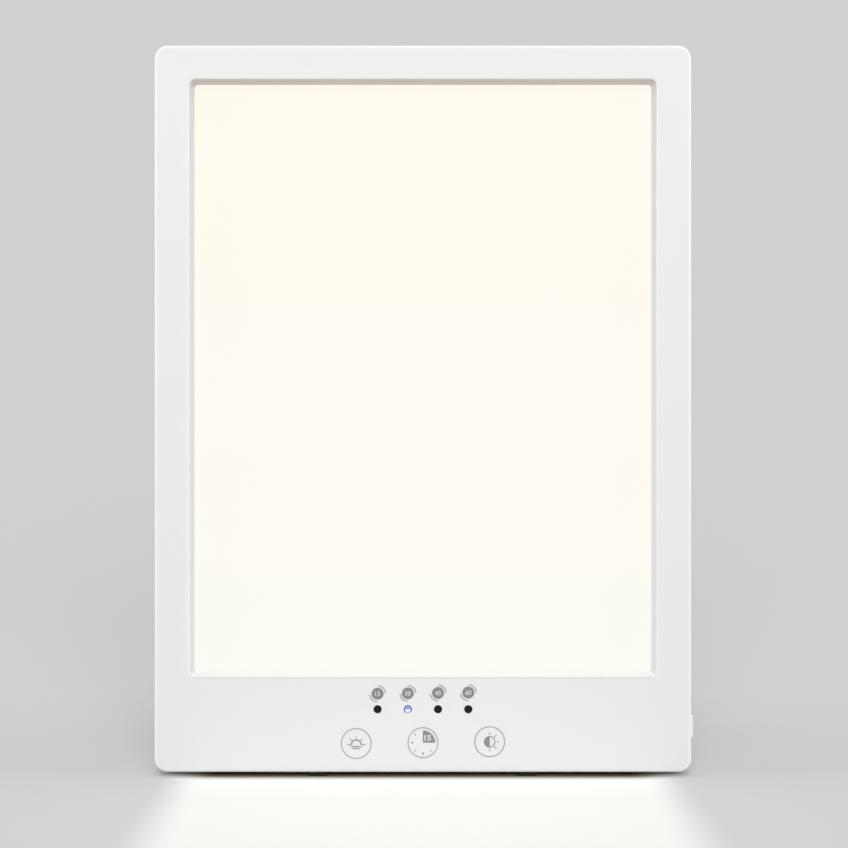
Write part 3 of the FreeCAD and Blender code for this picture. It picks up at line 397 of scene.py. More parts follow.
def painted_reveal_shade(tree, body):
    """The white of the front with painted shade: darker towards the chin and on the walls round the window.

    The wall that looks down gets the deepest and warmest painted shadow, the side walls less and the sill
    none. A thin painted shade lies on the front face just under the window's lower edge."""
    spot = place(tree)
    depth = along(tree, spot, PANEL_INWARD)
    height = along(tree, spot, PANEL_UP)
    across = calc(tree, "ABSOLUTE", axes(tree, spot)["X"])
    low, high = panel_box("diffuser_plate")
    bottom, top = low[2] + PANEL_START[2], high[2] + PANEL_START[2]
    inside = product(tree,
                     calc(tree, "LESS_THAN", across, high[0] + REVEAL_MARGIN),
                     calc(tree, "GREATER_THAN", height, bottom - REVEAL_MARGIN),
                     calc(tree, "LESS_THAN", height, top + REVEAL_MARGIN),
                     soft_step(tree, depth, PANEL_START[1] + REVEAL_START, REVEAL_START / 2))
    normal = add(tree, "ShaderNodeNewGeometry").outputs["Normal"]
    looks_up = along(tree, normal, PANEL_UP)
    looks_aside = calc(tree, "ABSOLUTE", axes(tree, normal)["X"])
    sides = calc(tree, "MULTIPLY", inside, calc(tree, "GREATER_THAN", looks_aside, SIDE_WALL_TURN))
    head = calc(tree, "MULTIPLY", inside, calc(tree, "LESS_THAN", looks_up, HEAD_WALL_TURN))
    lowness = calc(tree, "DIVIDE", calc(tree, "SUBTRACT", top, height), top - bottom, clamp=True)
    # Painted shade, darker towards the chin.
    body = blend_colours(tree, calc(tree, "MULTIPLY", lowness, PAINTED_CHIN_SHADE_SHARE), body, PAINTED_CHIN_SHADE)
    # Painted shadow on the side walls and on the wall that looks down.
    with_painted_shade = blend_colours(tree, sides, body, PAINTED_SIDE_WALL_SHADE)
    with_painted_shade = blend_colours(tree, head, with_painted_shade, PAINTED_HEAD_WALL_SHADE)
    # Painted shade in a thin line under the window's lower edge.
    return blend_colours(tree, painted_sill_mask(tree, across, depth, height), with_painted_shade, PAINTED_SILL_SHADE)


# %% Every plastic


def let_light_in(material, weight, way):
    """Scatter a share of the light under the surface, about as far as the way given."""
    inputs = material.node_tree.nodes["Principled BSDF"].inputs
    inputs["Subsurface Weight"].default_value = weight
    inputs["Subsurface Radius"].default_value = (1.0, 1.0, 1.0)
    inputs["Subsurface Scale"].default_value = way


front_plastic = moulded_plastic("white casing, front", (247, 247, 246), 0.42, painted_shade=painted_reveal_shade)
let_light_in(front_plastic, 0.6, 0.6 * MM)
rear_plastic = moulded_plastic("white casing, rear", (240, 240, 239), 0.5, grain_scale=1700.0,
                               grain_depth=0.05 * MM, dust=0.12)
leg_plastic = moulded_plastic("white leg", (238, 238, 237), 0.46, grain_scale=2000.0, dust=0.1)
button_plastic = moulded_plastic("button cap", (238, 238, 238), 0.35, grain_scale=3200.0,
                                 grain_depth=0.02 * MM)
dark_plastic = moulded_plastic("black moulding", (34, 34, 36), 0.45, drift=0.1)
pale_plastic = moulded_plastic("natural nylon", (228, 222, 205), 0.4, drift=0.06)
shield_plastic = moulded_plastic("white shield", (236, 236, 232), 0.5)
sleeve_plastic = moulded_plastic("lead sleeve", (212, 214, 216), 0.38, grain_scale=3500.0, drift=0.05)
pad_rubber = moulded_plastic("soft pad", (70, 70, 72), 0.85, grain_scale=1500.0, grain_depth=0.08 * MM,
                             drift=0.15)
print("plastics done, materials now", len(bpy.data.materials), "with the frame's own")

# %% [markdown]
# The window is an opal plate lit from its edges. It glows very evenly, a little warmer at the top than at
# the bottom. Real lamps behind it would render slowly and with noise, so the glow is the emission colour,
# ramped over the plate's own height. A weak mottle keeps the plate from being one flat tone close up.

# %% The glowing plate
GLOW_LOW, GLOW_MIDDLE, GLOW_TOP = colour(225, 226, 217), colour(231, 224, 216), colour(229, 225, 211)
GLOW_MOTTLE = colour(225, 215, 190)
MOTTLE_SHARE = 0.02


def opal_glow():
    """Emission ramped over height, with the small unevenness of light mixed in an opal sheet."""
    low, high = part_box("diffuser_plate")
    material, tree, shader = new_finish("opal plate", Base_Color=colour(120, 120, 118), Roughness=0.38)
    height = axes(tree, place(tree))["Z"]
    share = calc(tree, "DIVIDE", calc(tree, "SUBTRACT", height, low.z), high.z - low.z)
    glow = ramp(tree, share, [(0.0, GLOW_LOW), (0.5, GLOW_MIDDLE), (1.0, GLOW_TOP)])
    mottle = add(tree, "ShaderNodeTexNoise", {"Vector": place(tree), "Scale": 60.0, "Detail": 4.0})
    faint = calc(tree, "MULTIPLY", mottle.outputs[0], MOTTLE_SHARE)
    tree.links.new(blend_colours(tree, faint, glow, GLOW_MOTTLE), shader.inputs["Emission Color"])
    shader.inputs["Emission Strength"].default_value = 1.0
    fine = effect(tree, MOULD_GRAIN, Scale=3200.0)
    tree.links.new(bump(tree, fine["Height"], 0.02 * MM), shader.inputs["Normal"])
    return material


opal = opal_glow()
print("the plate glows over", np.subtract(*panel_box("diffuser_plate")[::-1])[[0, 2]].round(4).tolist(), "m")

# %% [markdown]
# The second indicator is lit. Seen straight on it is a white spot in a blue ring with a small blue bow in
# its upper half. Glass that bends a lamp's light so would need far finer sampling than so small a spot is
# worth, so the colour is worked out from the distance to the lens's middle, measured on the lens itself.

# %% The indicator lenses


def lens_centre(name):
    """The middle of a lens's front face, in the world."""
    low, high = panel_box(name)
    return to_world([[(low[0] + high[0]) / 2, low[1], (low[2] + high[2]) / 2]])[0]


BOW_DROP = 0.35 * MM
BOW_RADIUS = 0.85 * MM
BOW_HALF_STROKE = 0.2 * MM
RING_START, RING_SOFTNESS = 1.22 * MM, 0.12 * MM
RING_FADE, RING_FADE_SOFTNESS = 1.1 * MM, 0.5 * MM
PALE_START, PALE_SOFTNESS = 0.1 * MM, 0.25 * MM
LENS_WHITE, LENS_PALE, LENS_BLUE = colour(244, 249, 250), colour(176, 204, 238), colour(52, 78, 176)
RING_FOOT_SHADE = colour(172, 174, 214)


def lit_lens():
    """Emission by distance from the middle: a white spot, then a blue ring that fades at its foot.

    Above the middle the spot is pale blue, and a blue bow lies across it: part of a ring whose own middle
    is lower."""
    material, tree, shader = new_finish("lit lens", Base_Color=colour(14, 20, 44), Roughness=0.25,
                                        Specular_IOR_Level=0.3)
    centre = lens_centre("indicator_lens_2")
    away = add(tree, "ShaderNodeVectorMath", {0: place(tree), 1: tuple(centre)}, operation="SUBTRACT")
    reach = add(tree, "ShaderNodeVectorMath", {0: away.outputs[0]}, operation="LENGTH").outputs["Value"]
    upward = along(tree, away.outputs[0], PANEL_UP)
    spot = blend_colours(tree, soft_step(tree, upward, PALE_START, PALE_SOFTNESS), LENS_WHITE, LENS_PALE)
    above_foot = soft_step(tree, upward, -RING_FADE, RING_FADE_SOFTNESS)
    ring = blend_colours(tree, above_foot, RING_FOOT_SHADE, LENS_BLUE)
    shown = blend_colours(tree, soft_step(tree, reach, RING_START, RING_SOFTNESS), spot, ring)
    lowered = tuple(to_world(to_panel(centre[None]) - [0, 0, BOW_DROP])[0])
    off_middle = add(tree, "ShaderNodeVectorMath", {0: place(tree), 1: lowered}, operation="DISTANCE")
    bow = calc(tree, "ABSOLUTE", calc(tree, "SUBTRACT", off_middle.outputs["Value"], BOW_RADIUS))
    inside_bow = calc(tree, "MULTIPLY", calc(tree, "LESS_THAN", bow, BOW_HALF_STROKE),
                      calc(tree, "GREATER_THAN", upward, 0.0))
    tree.links.new(blend_colours(tree, inside_bow, shown, LENS_BLUE), shader.inputs["Emission Color"])
    shader.inputs["Emission Strength"].default_value = 0.95
    cloud = effect(tree, MOULD_GRAIN, Scale=9000.0)
    tree.links.new(bump(tree, cloud["Height"], 0.004 * MM), shader.inputs["Normal"])
    return material


def smoked_lens():
    """Almost black, glossy plastic with a weak cloudiness."""
    material, tree, shader = new_finish("smoked lens", Roughness=0.2, IOR=1.45, Specular_IOR_Level=0.35)
    cloud = effect(tree, MOULD_GRAIN, Scale=9000.0)
    tree.links.new(blend_colours(tree, cloud["Tint"], colour(6, 6, 7), colour(14, 14, 16)),
                   shader.inputs["Base Color"])
    return material


lit = lit_lens()
smoked = smoked_lens()
print("the lit lens is at", lens_centre("indicator_lens_2").round(4).tolist(), "m")

# %% [markdown]
# Metals inside and behind the lamp: the folded aluminium tray, plated screws, a bright steel pin, the
# inlet's contact, copper wire and the capacitors' cans. All are one recipe with its own colour, line
# scale and roughness, because rolled, drawn and plated metal differ mostly in those.

# %% Metals
LINE_SHADE = 0.82
LINE_ROUGHNESS = 0.14


def drawn_metal(name, shade, roughness, line_scale, depth=0.004 * MM):
    """Metal whose tint and roughness follow long fine lines."""
    material, tree, shader = new_finish(name, Metallic=1.0)
    lines = effect(tree, DRAWN_LINES, Scale=line_scale)
    base = colour(*shade)
    deeper = tuple(channel * LINE_SHADE for channel in base[:3]) + (1.0,)
    tree.links.new(blend_colours(tree, lines["Tint"], deeper, base), shader.inputs["Base Color"])
    varied = calc(tree, "MULTIPLY_ADD", lines["Height"], LINE_ROUGHNESS, roughness)
    tree.links.new(varied, shader.inputs["Roughness"])
    tree.links.new(bump(tree, lines["Height"], depth), shader.inputs["Normal"])
    return material


tray_metal = drawn_metal("rolled aluminium", (214, 216, 218), 0.3, 2200.0)
screw_steel = drawn_metal("plated steel", (196, 197, 200), 0.28, 6000.0)
pin_steel = drawn_metal("bright steel", (208, 208, 210), 0.16, 5000.0)
contact_metal = drawn_metal("tinned contact", (216, 212, 200), 0.2, 7000.0)
can_metal = drawn_metal("capacitor can", (198, 202, 206), 0.24, 4000.0)
winding_copper = drawn_metal("enamelled wire", (186, 104, 52), 0.3, 5200.0, 0.04 * MM)
print("metals done, materials now", len(bpy.data.materials))

# %% [markdown]
# The boards carry a solder mask: a thin glossy lacquer over copper tracks, which show as slightly raised,
# paler lanes. A square wave over x and another over z, switched by a coarse cell noise, make lanes that
# turn at right angles as real ones do.

# %% Circuit boards
CELLS_PER_METRE = 120.0
LANE_EDGE = 0.45


def masked_board(name, shade, track_shade, pitch):
    """Solder mask over lanes: lanes run along x or z, by cell, and a lane is where a sine is high."""
    material, tree, shader = new_finish(name, Roughness=0.28, Coat_Weight=0.4, Coat_Roughness=0.12)
    parts = axes(tree, place(tree))
    cells = add(tree, "ShaderNodeTexVoronoi", {"Vector": place(tree), "Scale": CELLS_PER_METRE},
                distance="CHEBYCHEV")
    chance = add(tree, "ShaderNodeSeparateColor", {0: cells.outputs["Color"]}).outputs[0]
    pick = calc(tree, "GREATER_THAN", chance, 0.5)
    waves = [calc(tree, "SINE", calc(tree, "MULTIPLY", parts[axis], math.tau / pitch)) for axis in ("X", "Z")]
    wave = add(tree, "ShaderNodeMix", {0: pick, 2: waves[0], 3: waves[1]}).outputs[0]
    lane = calc(tree, "GREATER_THAN", wave, LANE_EDGE)
    tree.links.new(blend_colours(tree, lane, colour(*shade), colour(*track_shade)),
                   shader.inputs["Base Color"])
    tree.links.new(bump(tree, lane, 0.03 * MM), shader.inputs["Normal"])
    return material


green_board = masked_board("green board", (22, 84, 52), (40, 116, 74), 1.6 * MM)
white_board = masked_board("white board", (236, 238, 236), (222, 226, 224), 3.0 * MM)
print("boards done, materials now", len(bpy.data.materials))

# %% [markdown]
# What is left inside: the light packages with their yellow filler, the clear guide plate, the white film
# behind it and the clear lamps behind the indicators.

# %% Light packages, guide, film and lamps
DOT_SIZE = 0.28
CLEAR_ROUGHNESS, ETCHED_ROUGHNESS = 0.5, 0.85


def lamp_package():
    """Yellow filler in two shades, told apart by cells as large as its grains, with a warm white glow."""
    material, tree, shader = new_finish("light package", Roughness=0.35)
    grains = add(tree, "ShaderNodeTexVoronoi", {"Vector": place(tree), "Scale": 5000.0})
    filler = blend_colours(tree, grains.outputs["Distance"], colour(250, 226, 120), colour(240, 196, 70))
    tree.links.new(filler, shader.inputs["Base Color"])
    shader.inputs["Emission Color"].default_value = colour(255, 246, 222)
    shader.inputs["Emission Strength"].default_value = 1.0
    return material


def guide_acrylic():
    """Clear acrylic with a faint dot pattern that lets light out towards the window."""
    material, tree, shader = new_finish("guide acrylic", Base_Color=colour(250, 252, 252),
                                        Transmission_Weight=1.0, IOR=1.49)
    dots = add(tree, "ShaderNodeTexVoronoi", {"Vector": place(tree), "Scale": 700.0, "Randomness": 0.1})
    etched = calc(tree, "LESS_THAN", dots.outputs["Distance"], DOT_SIZE)
    rougher = calc(tree, "MULTIPLY_ADD", etched, ETCHED_ROUGHNESS - CLEAR_ROUGHNESS, CLEAR_ROUGHNESS)
    tree.links.new(rougher, shader.inputs["Roughness"])
    tree.links.new(bump(tree, etched, 0.02 * MM), shader.inputs["Normal"])
    return material


def clear_lamp():
    """The clear resin of a domed lamp, slightly milky."""
    material, tree, shader = new_finish("clear resin", Transmission_Weight=0.85, IOR=1.52, Roughness=0.08)
    cloud = effect(tree, MOULD_GRAIN, Scale=4000.0)
    tree.links.new(blend_colours(tree, cloud["Tint"], colour(232, 238, 246), colour(246, 248, 252)),
                   shader.inputs["Base Color"])
    return material


packages = lamp_package()
guide = guide_acrylic()
resin = clear_lamp()
film = moulded_plastic("reflector film", (246, 246, 246), 0.3, grain_scale=5000.0, grain_depth=0.01 * MM)
foot_rubber = moulded_plastic("foot rubber", (20, 19, 18), 0.85, grain_scale=1300.0, grain_depth=0.1 * MM,
                              drift=0.2)
print("all finishes done, materials now", len(bpy.data.materials))

# %% [markdown]
# Now each solid gets its finish. The list goes from finish to pieces, so a piece that was forgotten would
# show at once: the last line lists the pieces that still have no finish of their own.

# %% Dress the solids
FINISHES = [
    (front_plastic, ["front_housing"]),
    (rear_plastic, ["rear_cover"]),
    (leg_plastic, ["stand_leg"]),
    (button_plastic, ["power_button"]),
    (opal, ["diffuser_plate"]),
    (guide, ["light_guide_plate"]),
    (film, ["reflector_sheet"]),
    (tray_metal, ["backing_tray"]),
    (white_board, ["led_board_left", "led_board_right"]),
    (packages, ["led_chips_left", "led_chips_right"]),
    (green_board, ["control_board", "switch_board", "driver_board"]),
    (pad_rubber, ["touch_pads"]),
    (resin, ["indicator_leds"]),
    (shield_plastic, ["indicator_light_shield"]),
    (smoked, ["indicator_lens_1", "indicator_lens_3", "indicator_lens_4"]),
    (lit, ["indicator_lens_2"]),
    (dark_plastic, ["touch_chip", "driver_chip", "switch_body", "dc_jack"]),
    (pale_plastic, ["control_connectors", "driver_connectors", "switch_plunger"]),
    (winding_copper, ["driver_inductor"]),
    (can_metal, ["driver_capacitors"]),
    (contact_metal, ["jack_pin"]),
    (sleeve_plastic, ["led_lead_left", "led_lead_right", "control_lead", "switch_lead"]),
    (pin_steel, ["stand_hinge_pin"]),
    (screw_steel, ["case_screws", "tray_screws", "control_board_screws", "driver_board_screws",
                   "switch_board_screws"]),
    (foot_rubber, ["base_feet", "stand_foot_pad"]),
]


def dress(name, material):
    """Give a CAD node one finish in every slot it has."""
    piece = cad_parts[name]
    if not piece.material_slots:
        piece.data.materials.append(material)
    for slot in piece.material_slots:
        slot.material = material


for finish, names in FINISHES:
    for name in names:
        dress(name, finish)
dressed = {name for _, names in FINISHES for name in names}
print("solids without a finish", sorted(set(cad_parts) - dressed))

# %% [markdown]
# The marks on the chin are printed. They could be drawn into the casing's colour, but a shape keeps its
# edge crisp from close up. Ink has a real thickness, so each mark is a thin closed slab that stands a few
# hundredths of a millimetre proud and sinks a little into the plastic.
# Every stroke is the same surface: two edge curves, low and high, joined by a slab. A ring, a straight dash
# with round ends, a filled disc and a piece of pie only differ in the two curves.

# %% A stroke of ink
INK_PROUD = 0.03 * MM
INK_SUNK = 0.02 * MM


def slab(low, high, closed):
    """A closed slab between two curves of n points in the panel's x and z, in metres.

    At each step along the curves the section is a rectangle: its front corners are on the curves at the
    ink's outer face and its rear corners are behind them at its inner face."""
    count = len(low)
    corners = np.zeros((count, 4, 3))
    section = [(low, -INK_PROUD), (high, -INK_PROUD), (high, INK_SUNK), (low, INK_SUNK)]
    for corner, (edge, depth) in enumerate(section):
        corners[:, corner, 0] = edge[:, 0]
        corners[:, corner, 1] = depth
        corners[:, corner, 2] = edge[:, 1]
    step = np.arange(count if closed else count - 1)
    side = np.arange(4)
    here = (step[:, None] * 4 + side).ravel()
    beside = (step[:, None] * 4 + (side + 1) % 4).ravel()
    after = (((step + 1) % count)[:, None] * 4 + side).ravel()
    across = (((step + 1) % count)[:, None] * 4 + (side + 1) % 4).ravel()
    quads = np.stack([here, beside, across, after], 1)
    if not closed:
        ends = np.array([[3, 2, 1, 0], (count - 1) * 4 + side])
        quads = np.concatenate([quads, ends])
    return corners.reshape(-1, 3), quads


# %% Curves for rings, dashes, discs and sectors


def arc(radius, stroke, start=0.0, end=360.0, centre=(0.0, 0.0)):
    """Part of a ring: two circles, half a stroke inside and outside the radius. Angles in degrees."""
    closed = end - start >= 360
    steps = max(8, int((end - start) / 4))
    angles = np.radians(np.linspace(start, end, steps, endpoint=not closed))
    circle = np.stack([np.cos(angles), np.sin(angles)], 1)
    middle = np.array(centre)
    return middle + circle * (radius - stroke / 2), middle + circle * (radius + stroke / 2), closed


def dash(start, end, stroke):
    """A straight stroke with round ends: half its width is a circle's height near each end."""
    start, end = np.array(start, dtype=float), np.array(end, dtype=float)
    half, length = stroke / 2, np.linalg.norm(end - start)
    turn = np.radians(np.linspace(0, 90, 7))
    reach = np.concatenate([half - half * np.cos(turn), length - half + half * np.sin(turn)])
    width = np.concatenate([half * np.sin(turn), half * np.cos(turn)])
    forward = (end - start) / length
    aside = np.array([-forward[1], forward[0]])
    spine = start + reach[:, None] * forward
    return spine - width[:, None] * aside, spine + width[:, None] * aside, False


def disc(radius):
    """A filled disc: the left half circle, joined across to its mirror image."""
    turn = np.radians(np.linspace(-90, 90, 33))
    left = np.stack([-radius * np.cos(turn), radius * np.sin(turn)], 1)
    return left, left * [-1, 1], False


def sector(radius, start, end):
    """A filled piece of pie: from the middle out to the radius. Angles in degrees."""
    turn = np.radians(np.linspace(start, end, 25))
    circle = np.stack([np.cos(turn), np.sin(turn)], 1)
    return np.zeros_like(circle), circle * radius, False


print("a ring's slab has", len(slab(*arc(1.0, 0.1))[0]), "points")

# %% [markdown]
# Strokes are drawn in millimetres round a mark's middle, then moved to their place on the chin as one
# mesh. Points that fall together, as at the tip of a round end, are merged, and the normals are worked
# out afresh, because a stroke may run either way round.

# %% Put strokes on the chin
SAME_POINT = 0.0001 * MM


def piece_from(name, points, faces, material):
    """A mesh object at the origin whose points are already in the world, riding on the lamp."""
    mesh = bpy.data.meshes.new(name)
    mesh.from_pydata(points.tolist(), [], faces)
    shape = bmesh.new()
    shape.from_mesh(mesh)
    bmesh.ops.remove_doubles(shape, verts=shape.verts, dist=SAME_POINT)
    bmesh.ops.dissolve_degenerate(shape, edges=shape.edges, dist=SAME_POINT)
    bmesh.ops.recalc_face_normals(shape, faces=shape.faces)
    shape.to_mesh(mesh)
    shape.free()
    mesh.materials.append(material)
    piece = bpy.data.objects.new(name, mesh)
    bpy.context.scene.collection.objects.link(piece)
    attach(piece, "lamp")
    return piece


def print_mark(name, middle, strokes, ink):
    """Print strokes round a middle. All are in millimetres."""
    points, faces, count = [], [], 0
    shift = np.array(middle)
    for low, high, closed in strokes:
        made, quads = slab((low + shift) * MM, (high + shift) * MM, closed)
        points.append(made)
        faces += (quads + count).tolist()
        count += len(made)
    return piece_from(name, to_world(np.concatenate(points)), faces, ink)


# %% [markdown]
# Screen-printed ink is matt and slightly uneven in cover, so its shade varies with a fine noise and its
# edge is left crisp. The grey marks are darker than the rings round the touch points, and the numerals
# are a pale ink on the grey discs.

# %% Inks
CASING_WHITE = 0.85


def ink_finish(name, shade, spread=0.14):
    """Matt ink whose cover varies a little: where it is thin, the casing's white shows through."""
    material, tree, shader = new_finish(name, Roughness=0.6, Specular_IOR_Level=0.35)
    cover = effect(tree, MOULD_GRAIN, Scale=4500.0)
    base = colour(*shade)
    thin = tuple(channel + (CASING_WHITE - channel) * spread for channel in base[:3]) + (1.0,)
    tree.links.new(blend_colours(tree, cover["Height"], base, thin), shader.inputs["Base Color"])
    tree.links.new(bump(tree, cover["Height"], 0.008 * MM), shader.inputs["Normal"])
    return material


disc_ink = ink_finish("grey ink", (122, 122, 122))
ring_ink = ink_finish("light grey ink", (158, 158, 158))
icon_ink = ink_finish("icon ink", (130, 130, 130))
numeral_ink = ink_finish("pale ink", (212, 212, 212), 0.05)
print("inks", [ink.name for ink in (disc_ink, ring_ink, icon_ink, numeral_ink)])

# %% [markdown]
# The upper row shows the four times that the timer can be set to. Each is a grey disc with a pale number
# on it and two thin arcs, one at the upper right and one at the lower left. The row's pitch is the
# lamps' pitch, so every number stands over its own indicator. The print went on slightly askew: its rows
# climb to the right by about a hundredth of their length, while the lamps lie level. A number could be
# drawn from strokes too, but a text outline turned into a mesh has better shapes for less work.

# %% Numbers


def print_number(name, text, middle, height, ink, width=None, weight=0.022):
    """A number as a thin slab: the outline is filled, thickened by the weight and scaled to the height.

    Where a width is given, it is scaled to that too. Its face is twice as proud as a stroke's, because it
    lies on ink."""
    curve = bpy.data.curves.new(name, "FONT")
    curve.body = text
    # Any thickness does here, because the slab's two depths are set below.
    curve.extrude = 0.5
    curve.offset = weight
    holder = bpy.data.objects.new(name + "_outline", curve)
    bpy.context.scene.collection.objects.link(holder)
    bpy.context.view_layer.update()
    drawn = bpy.data.meshes.new_from_object(holder)
    bpy.data.objects.remove(holder)
    flat = np.empty(len(drawn.vertices) * 3, dtype=np.float32)
    drawn.vertices.foreach_get("co", flat)
    flat = flat.reshape(-1, 3).astype(float)
    low, high = flat.min(0), flat.max(0)
    scale = height / (high[1] - low[1])
    across = scale if width is None else width / (high[0] - low[0])
    x = (flat[:, 0] - (low[0] + high[0]) / 2) * across + middle[0]
    z = (flat[:, 1] - (low[1] + high[1]) / 2) * scale + middle[1]
    y = np.where(flat[:, 2] > 0, -2 * INK_PROUD / MM, INK_SUNK / MM)
    faces = [tuple(face.vertices) for face in drawn.polygons]
    bpy.data.meshes.remove(drawn)
    return piece_from(name, to_world(np.stack([x, y, z], 1) * MM), faces, ink)


# %% The timer row
PRINT_CLIMB = 0.0128
TIMER_TIMES = ["15", "30", "45", "60"]
TIMER_HEIGHT = 32.4
TIMER_RADIUS = 2.45
TIMER_ARC_RADIUS = 3.25
TIMER_ARC_STROKE = 0.34
NUMERAL_HEIGHT = 1.9

lens_middles = [to_panel(lens_centre(f"indicator_lens_{number}")[None])[0] / MM for number in (1, 2, 3, 4)]
for number, (text, lens) in enumerate(zip(TIMER_TIMES, lens_middles), 1):
    spot = (lens[0], TIMER_HEIGHT + PRINT_CLIMB * lens[0])
    strokes = [disc(TIMER_RADIUS), arc(TIMER_ARC_RADIUS, TIMER_ARC_STROKE, 2, 86),
               arc(TIMER_ARC_RADIUS, TIMER_ARC_STROKE, 186, 268)]
    print_mark(f"timer_mark_{number}", spot, strokes, disc_ink)
    print_number(f"timer_number_{number}", text, spot, NUMERAL_HEIGHT, numeral_ink)
print("timer row over the lamps at x", [round(lens[0], 2) for lens in lens_middles])

# %% [markdown]
# Under the lamps are three touch points: sunrise, timer and brightness. Each has a thin ring, a little
# larger than a fingertip's contact, with its symbol inside. A ring lies over its touch pad.

# %% The touch rings
TOUCH_RING_RADIUS = 6.12
TOUCH_RING_STROKE = 0.42
TOUCH_PRINT_DROP = 0.1


def touch_middles():
    """The middles of the rings, left to right, in panel millimetres: the touch pads' own, askew as printed.

    The pads are as wide as they are high, so two pitches are the row's width less one pad's height."""
    low, high = np.array(panel_box("touch_pads")) / MM
    centre = (low[2] + high[2]) / 2
    pitch = (high[0] - low[0] - (high[2] - low[2])) / 2
    return [(x, centre - TOUCH_PRINT_DROP + PRINT_CLIMB * x) for x in (-pitch, 0.0, pitch)]


touch_left, touch_middle, touch_right = touch_middles()
for name, spot in [("sunrise", touch_left), ("timer", touch_middle), ("brightness", touch_right)]:
    print_mark(f"touch_ring_{name}", spot, [arc(TOUCH_RING_RADIUS, TOUCH_RING_STROKE)], ring_ink)
print("touch rings at", np.round([touch_left, touch_middle, touch_right], 2).tolist())

# %% [markdown]
# The three symbols. Sunrise is a half sun with rays over two lines of horizon. The timer is a quarter of
# a dial filled in, with ticks round the rest and the number of minutes on the filled part.
# Brightness is a sun whose left half is filled and whose rays stand only on the right, top and bottom.

# %% The symbols


def ray(angle, inner, outer, stroke):
    """A dash that points away from the middle, from an inner to an outer radius."""
    way = np.array([math.cos(math.radians(angle)), math.sin(math.radians(angle))])
    return dash(way * inner, way * outer, stroke)


HORIZON = -0.5
BOLD, EVEN, FINE = 0.55, 0.45, 0.34

sunrise = [arc(1.98, BOLD, 0, 180, (0, HORIZON)), dash((0, 2.15), (0, 3.0), FINE)]
for side in (-1, 1):
    sunrise.append(dash((side * 1.8, 1.15), (side * 2.6, 2.05), FINE))
    sunrise.append(dash((side * 2.2, HORIZON), (side * 3.75, HORIZON), FINE))
sunrise += [dash((-half, height), (half, height), EVEN) for half, height in [(2.25, -1.3), (1.42, -2.1)]]
print_mark("symbol_sunrise", touch_left, sunrise, icon_ink)

dial = [sector(5.05, 0, 90)]
dial += [ray(angle, 3.9, 5.0, BOLD) for angle in (180, 270)]
dial += [ray(angle, 4.1, 5.05, FINE) for angle in (135, 225, 315)]
print_mark("symbol_timer", touch_middle, dial, icon_ink)
print_number("symbol_timer_number", "15", (touch_middle[0] + 1.95, touch_middle[1] + 1.98), 2.35, numeral_ink,
             2.8, weight=0.045)

sun = [arc(2.15, 0.4, -90, 90), sector(2.35, 90, 270)]
sun += [ray(angle, inner, outer, FINE) for angle, inner, outer in
        [(90, 2.75, 3.95), (-90, 2.75, 3.95), (0, 2.95, 3.9), (45, 2.65, 3.95), (-45, 2.65, 3.95)]]
print_mark("symbol_brightness", touch_right, sun, icon_ink)
printed = [piece.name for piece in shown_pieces() if piece.name.startswith(("timer", "touch_ring", "symbol"))]
print("printed pieces", len(printed))

# %% [markdown]
# The stage is a plain pale floor that runs on so far that no horizon shows. In front of the lamp lies the
# strip of light that its window throws on the floor. It is painted light: a paler stretch of the floor's own
# colour that widens and softens with distance. A real lamp in the window would light the whole casing as
# well, and a mark on the floor stays where it is when the lamp is seen from elsewhere. The narrow strip of
# floor under the lamp's front edge is a painted contact shadow that darkens step by step.

# %% The floor's finish
# Painted light and painted shadow on the floor: the strip of light in front of the lamp and the contact
# shadow under its front edge.
POOL_HALF_WIDTH, POOL_WIDENING = 98.5 * MM, 0.10
POOL_SOFTNESS, POOL_SOFTENING = 9.5 * MM, 0.055
POOL_LENGTH, POOL_END_SOFTNESS = 550.0 * MM, 200.0 * MM
POOL_NEAR_END, POOL_NEAR_SOFTNESS = 17.0 * MM, 14.0 * MM
SHADE_HALF_WIDTH, SHADE_SIDE_SOFTNESS = 96.0 * MM, 12.0 * MM
SHADE_START, SHADE_FULL = -6.0 * MM, 12.0 * MM
SHADE_END, SHADE_END_SOFTNESS = 30.0 * MM, 10.0 * MM
FLOOR_GREY = colour(205, 205, 205)
POOL_WHITE = colour(237, 237, 235)
POOL_NEAR_WHITE = colour(245, 245, 243)
FLOOR_FLECK, FLECK_SHARE = colour(198, 198, 197), 0.04
CONTACT_SHADES = [(0.0, POOL_NEAR_WHITE), (0.10, POOL_NEAR_WHITE), (0.23, colour(208, 203, 194)),
                  (0.37, colour(140, 132, 119)), (0.50, colour(112, 104, 92)),
                  (0.63, colour(84, 77, 67)), (0.76, colour(38, 34, 30))]


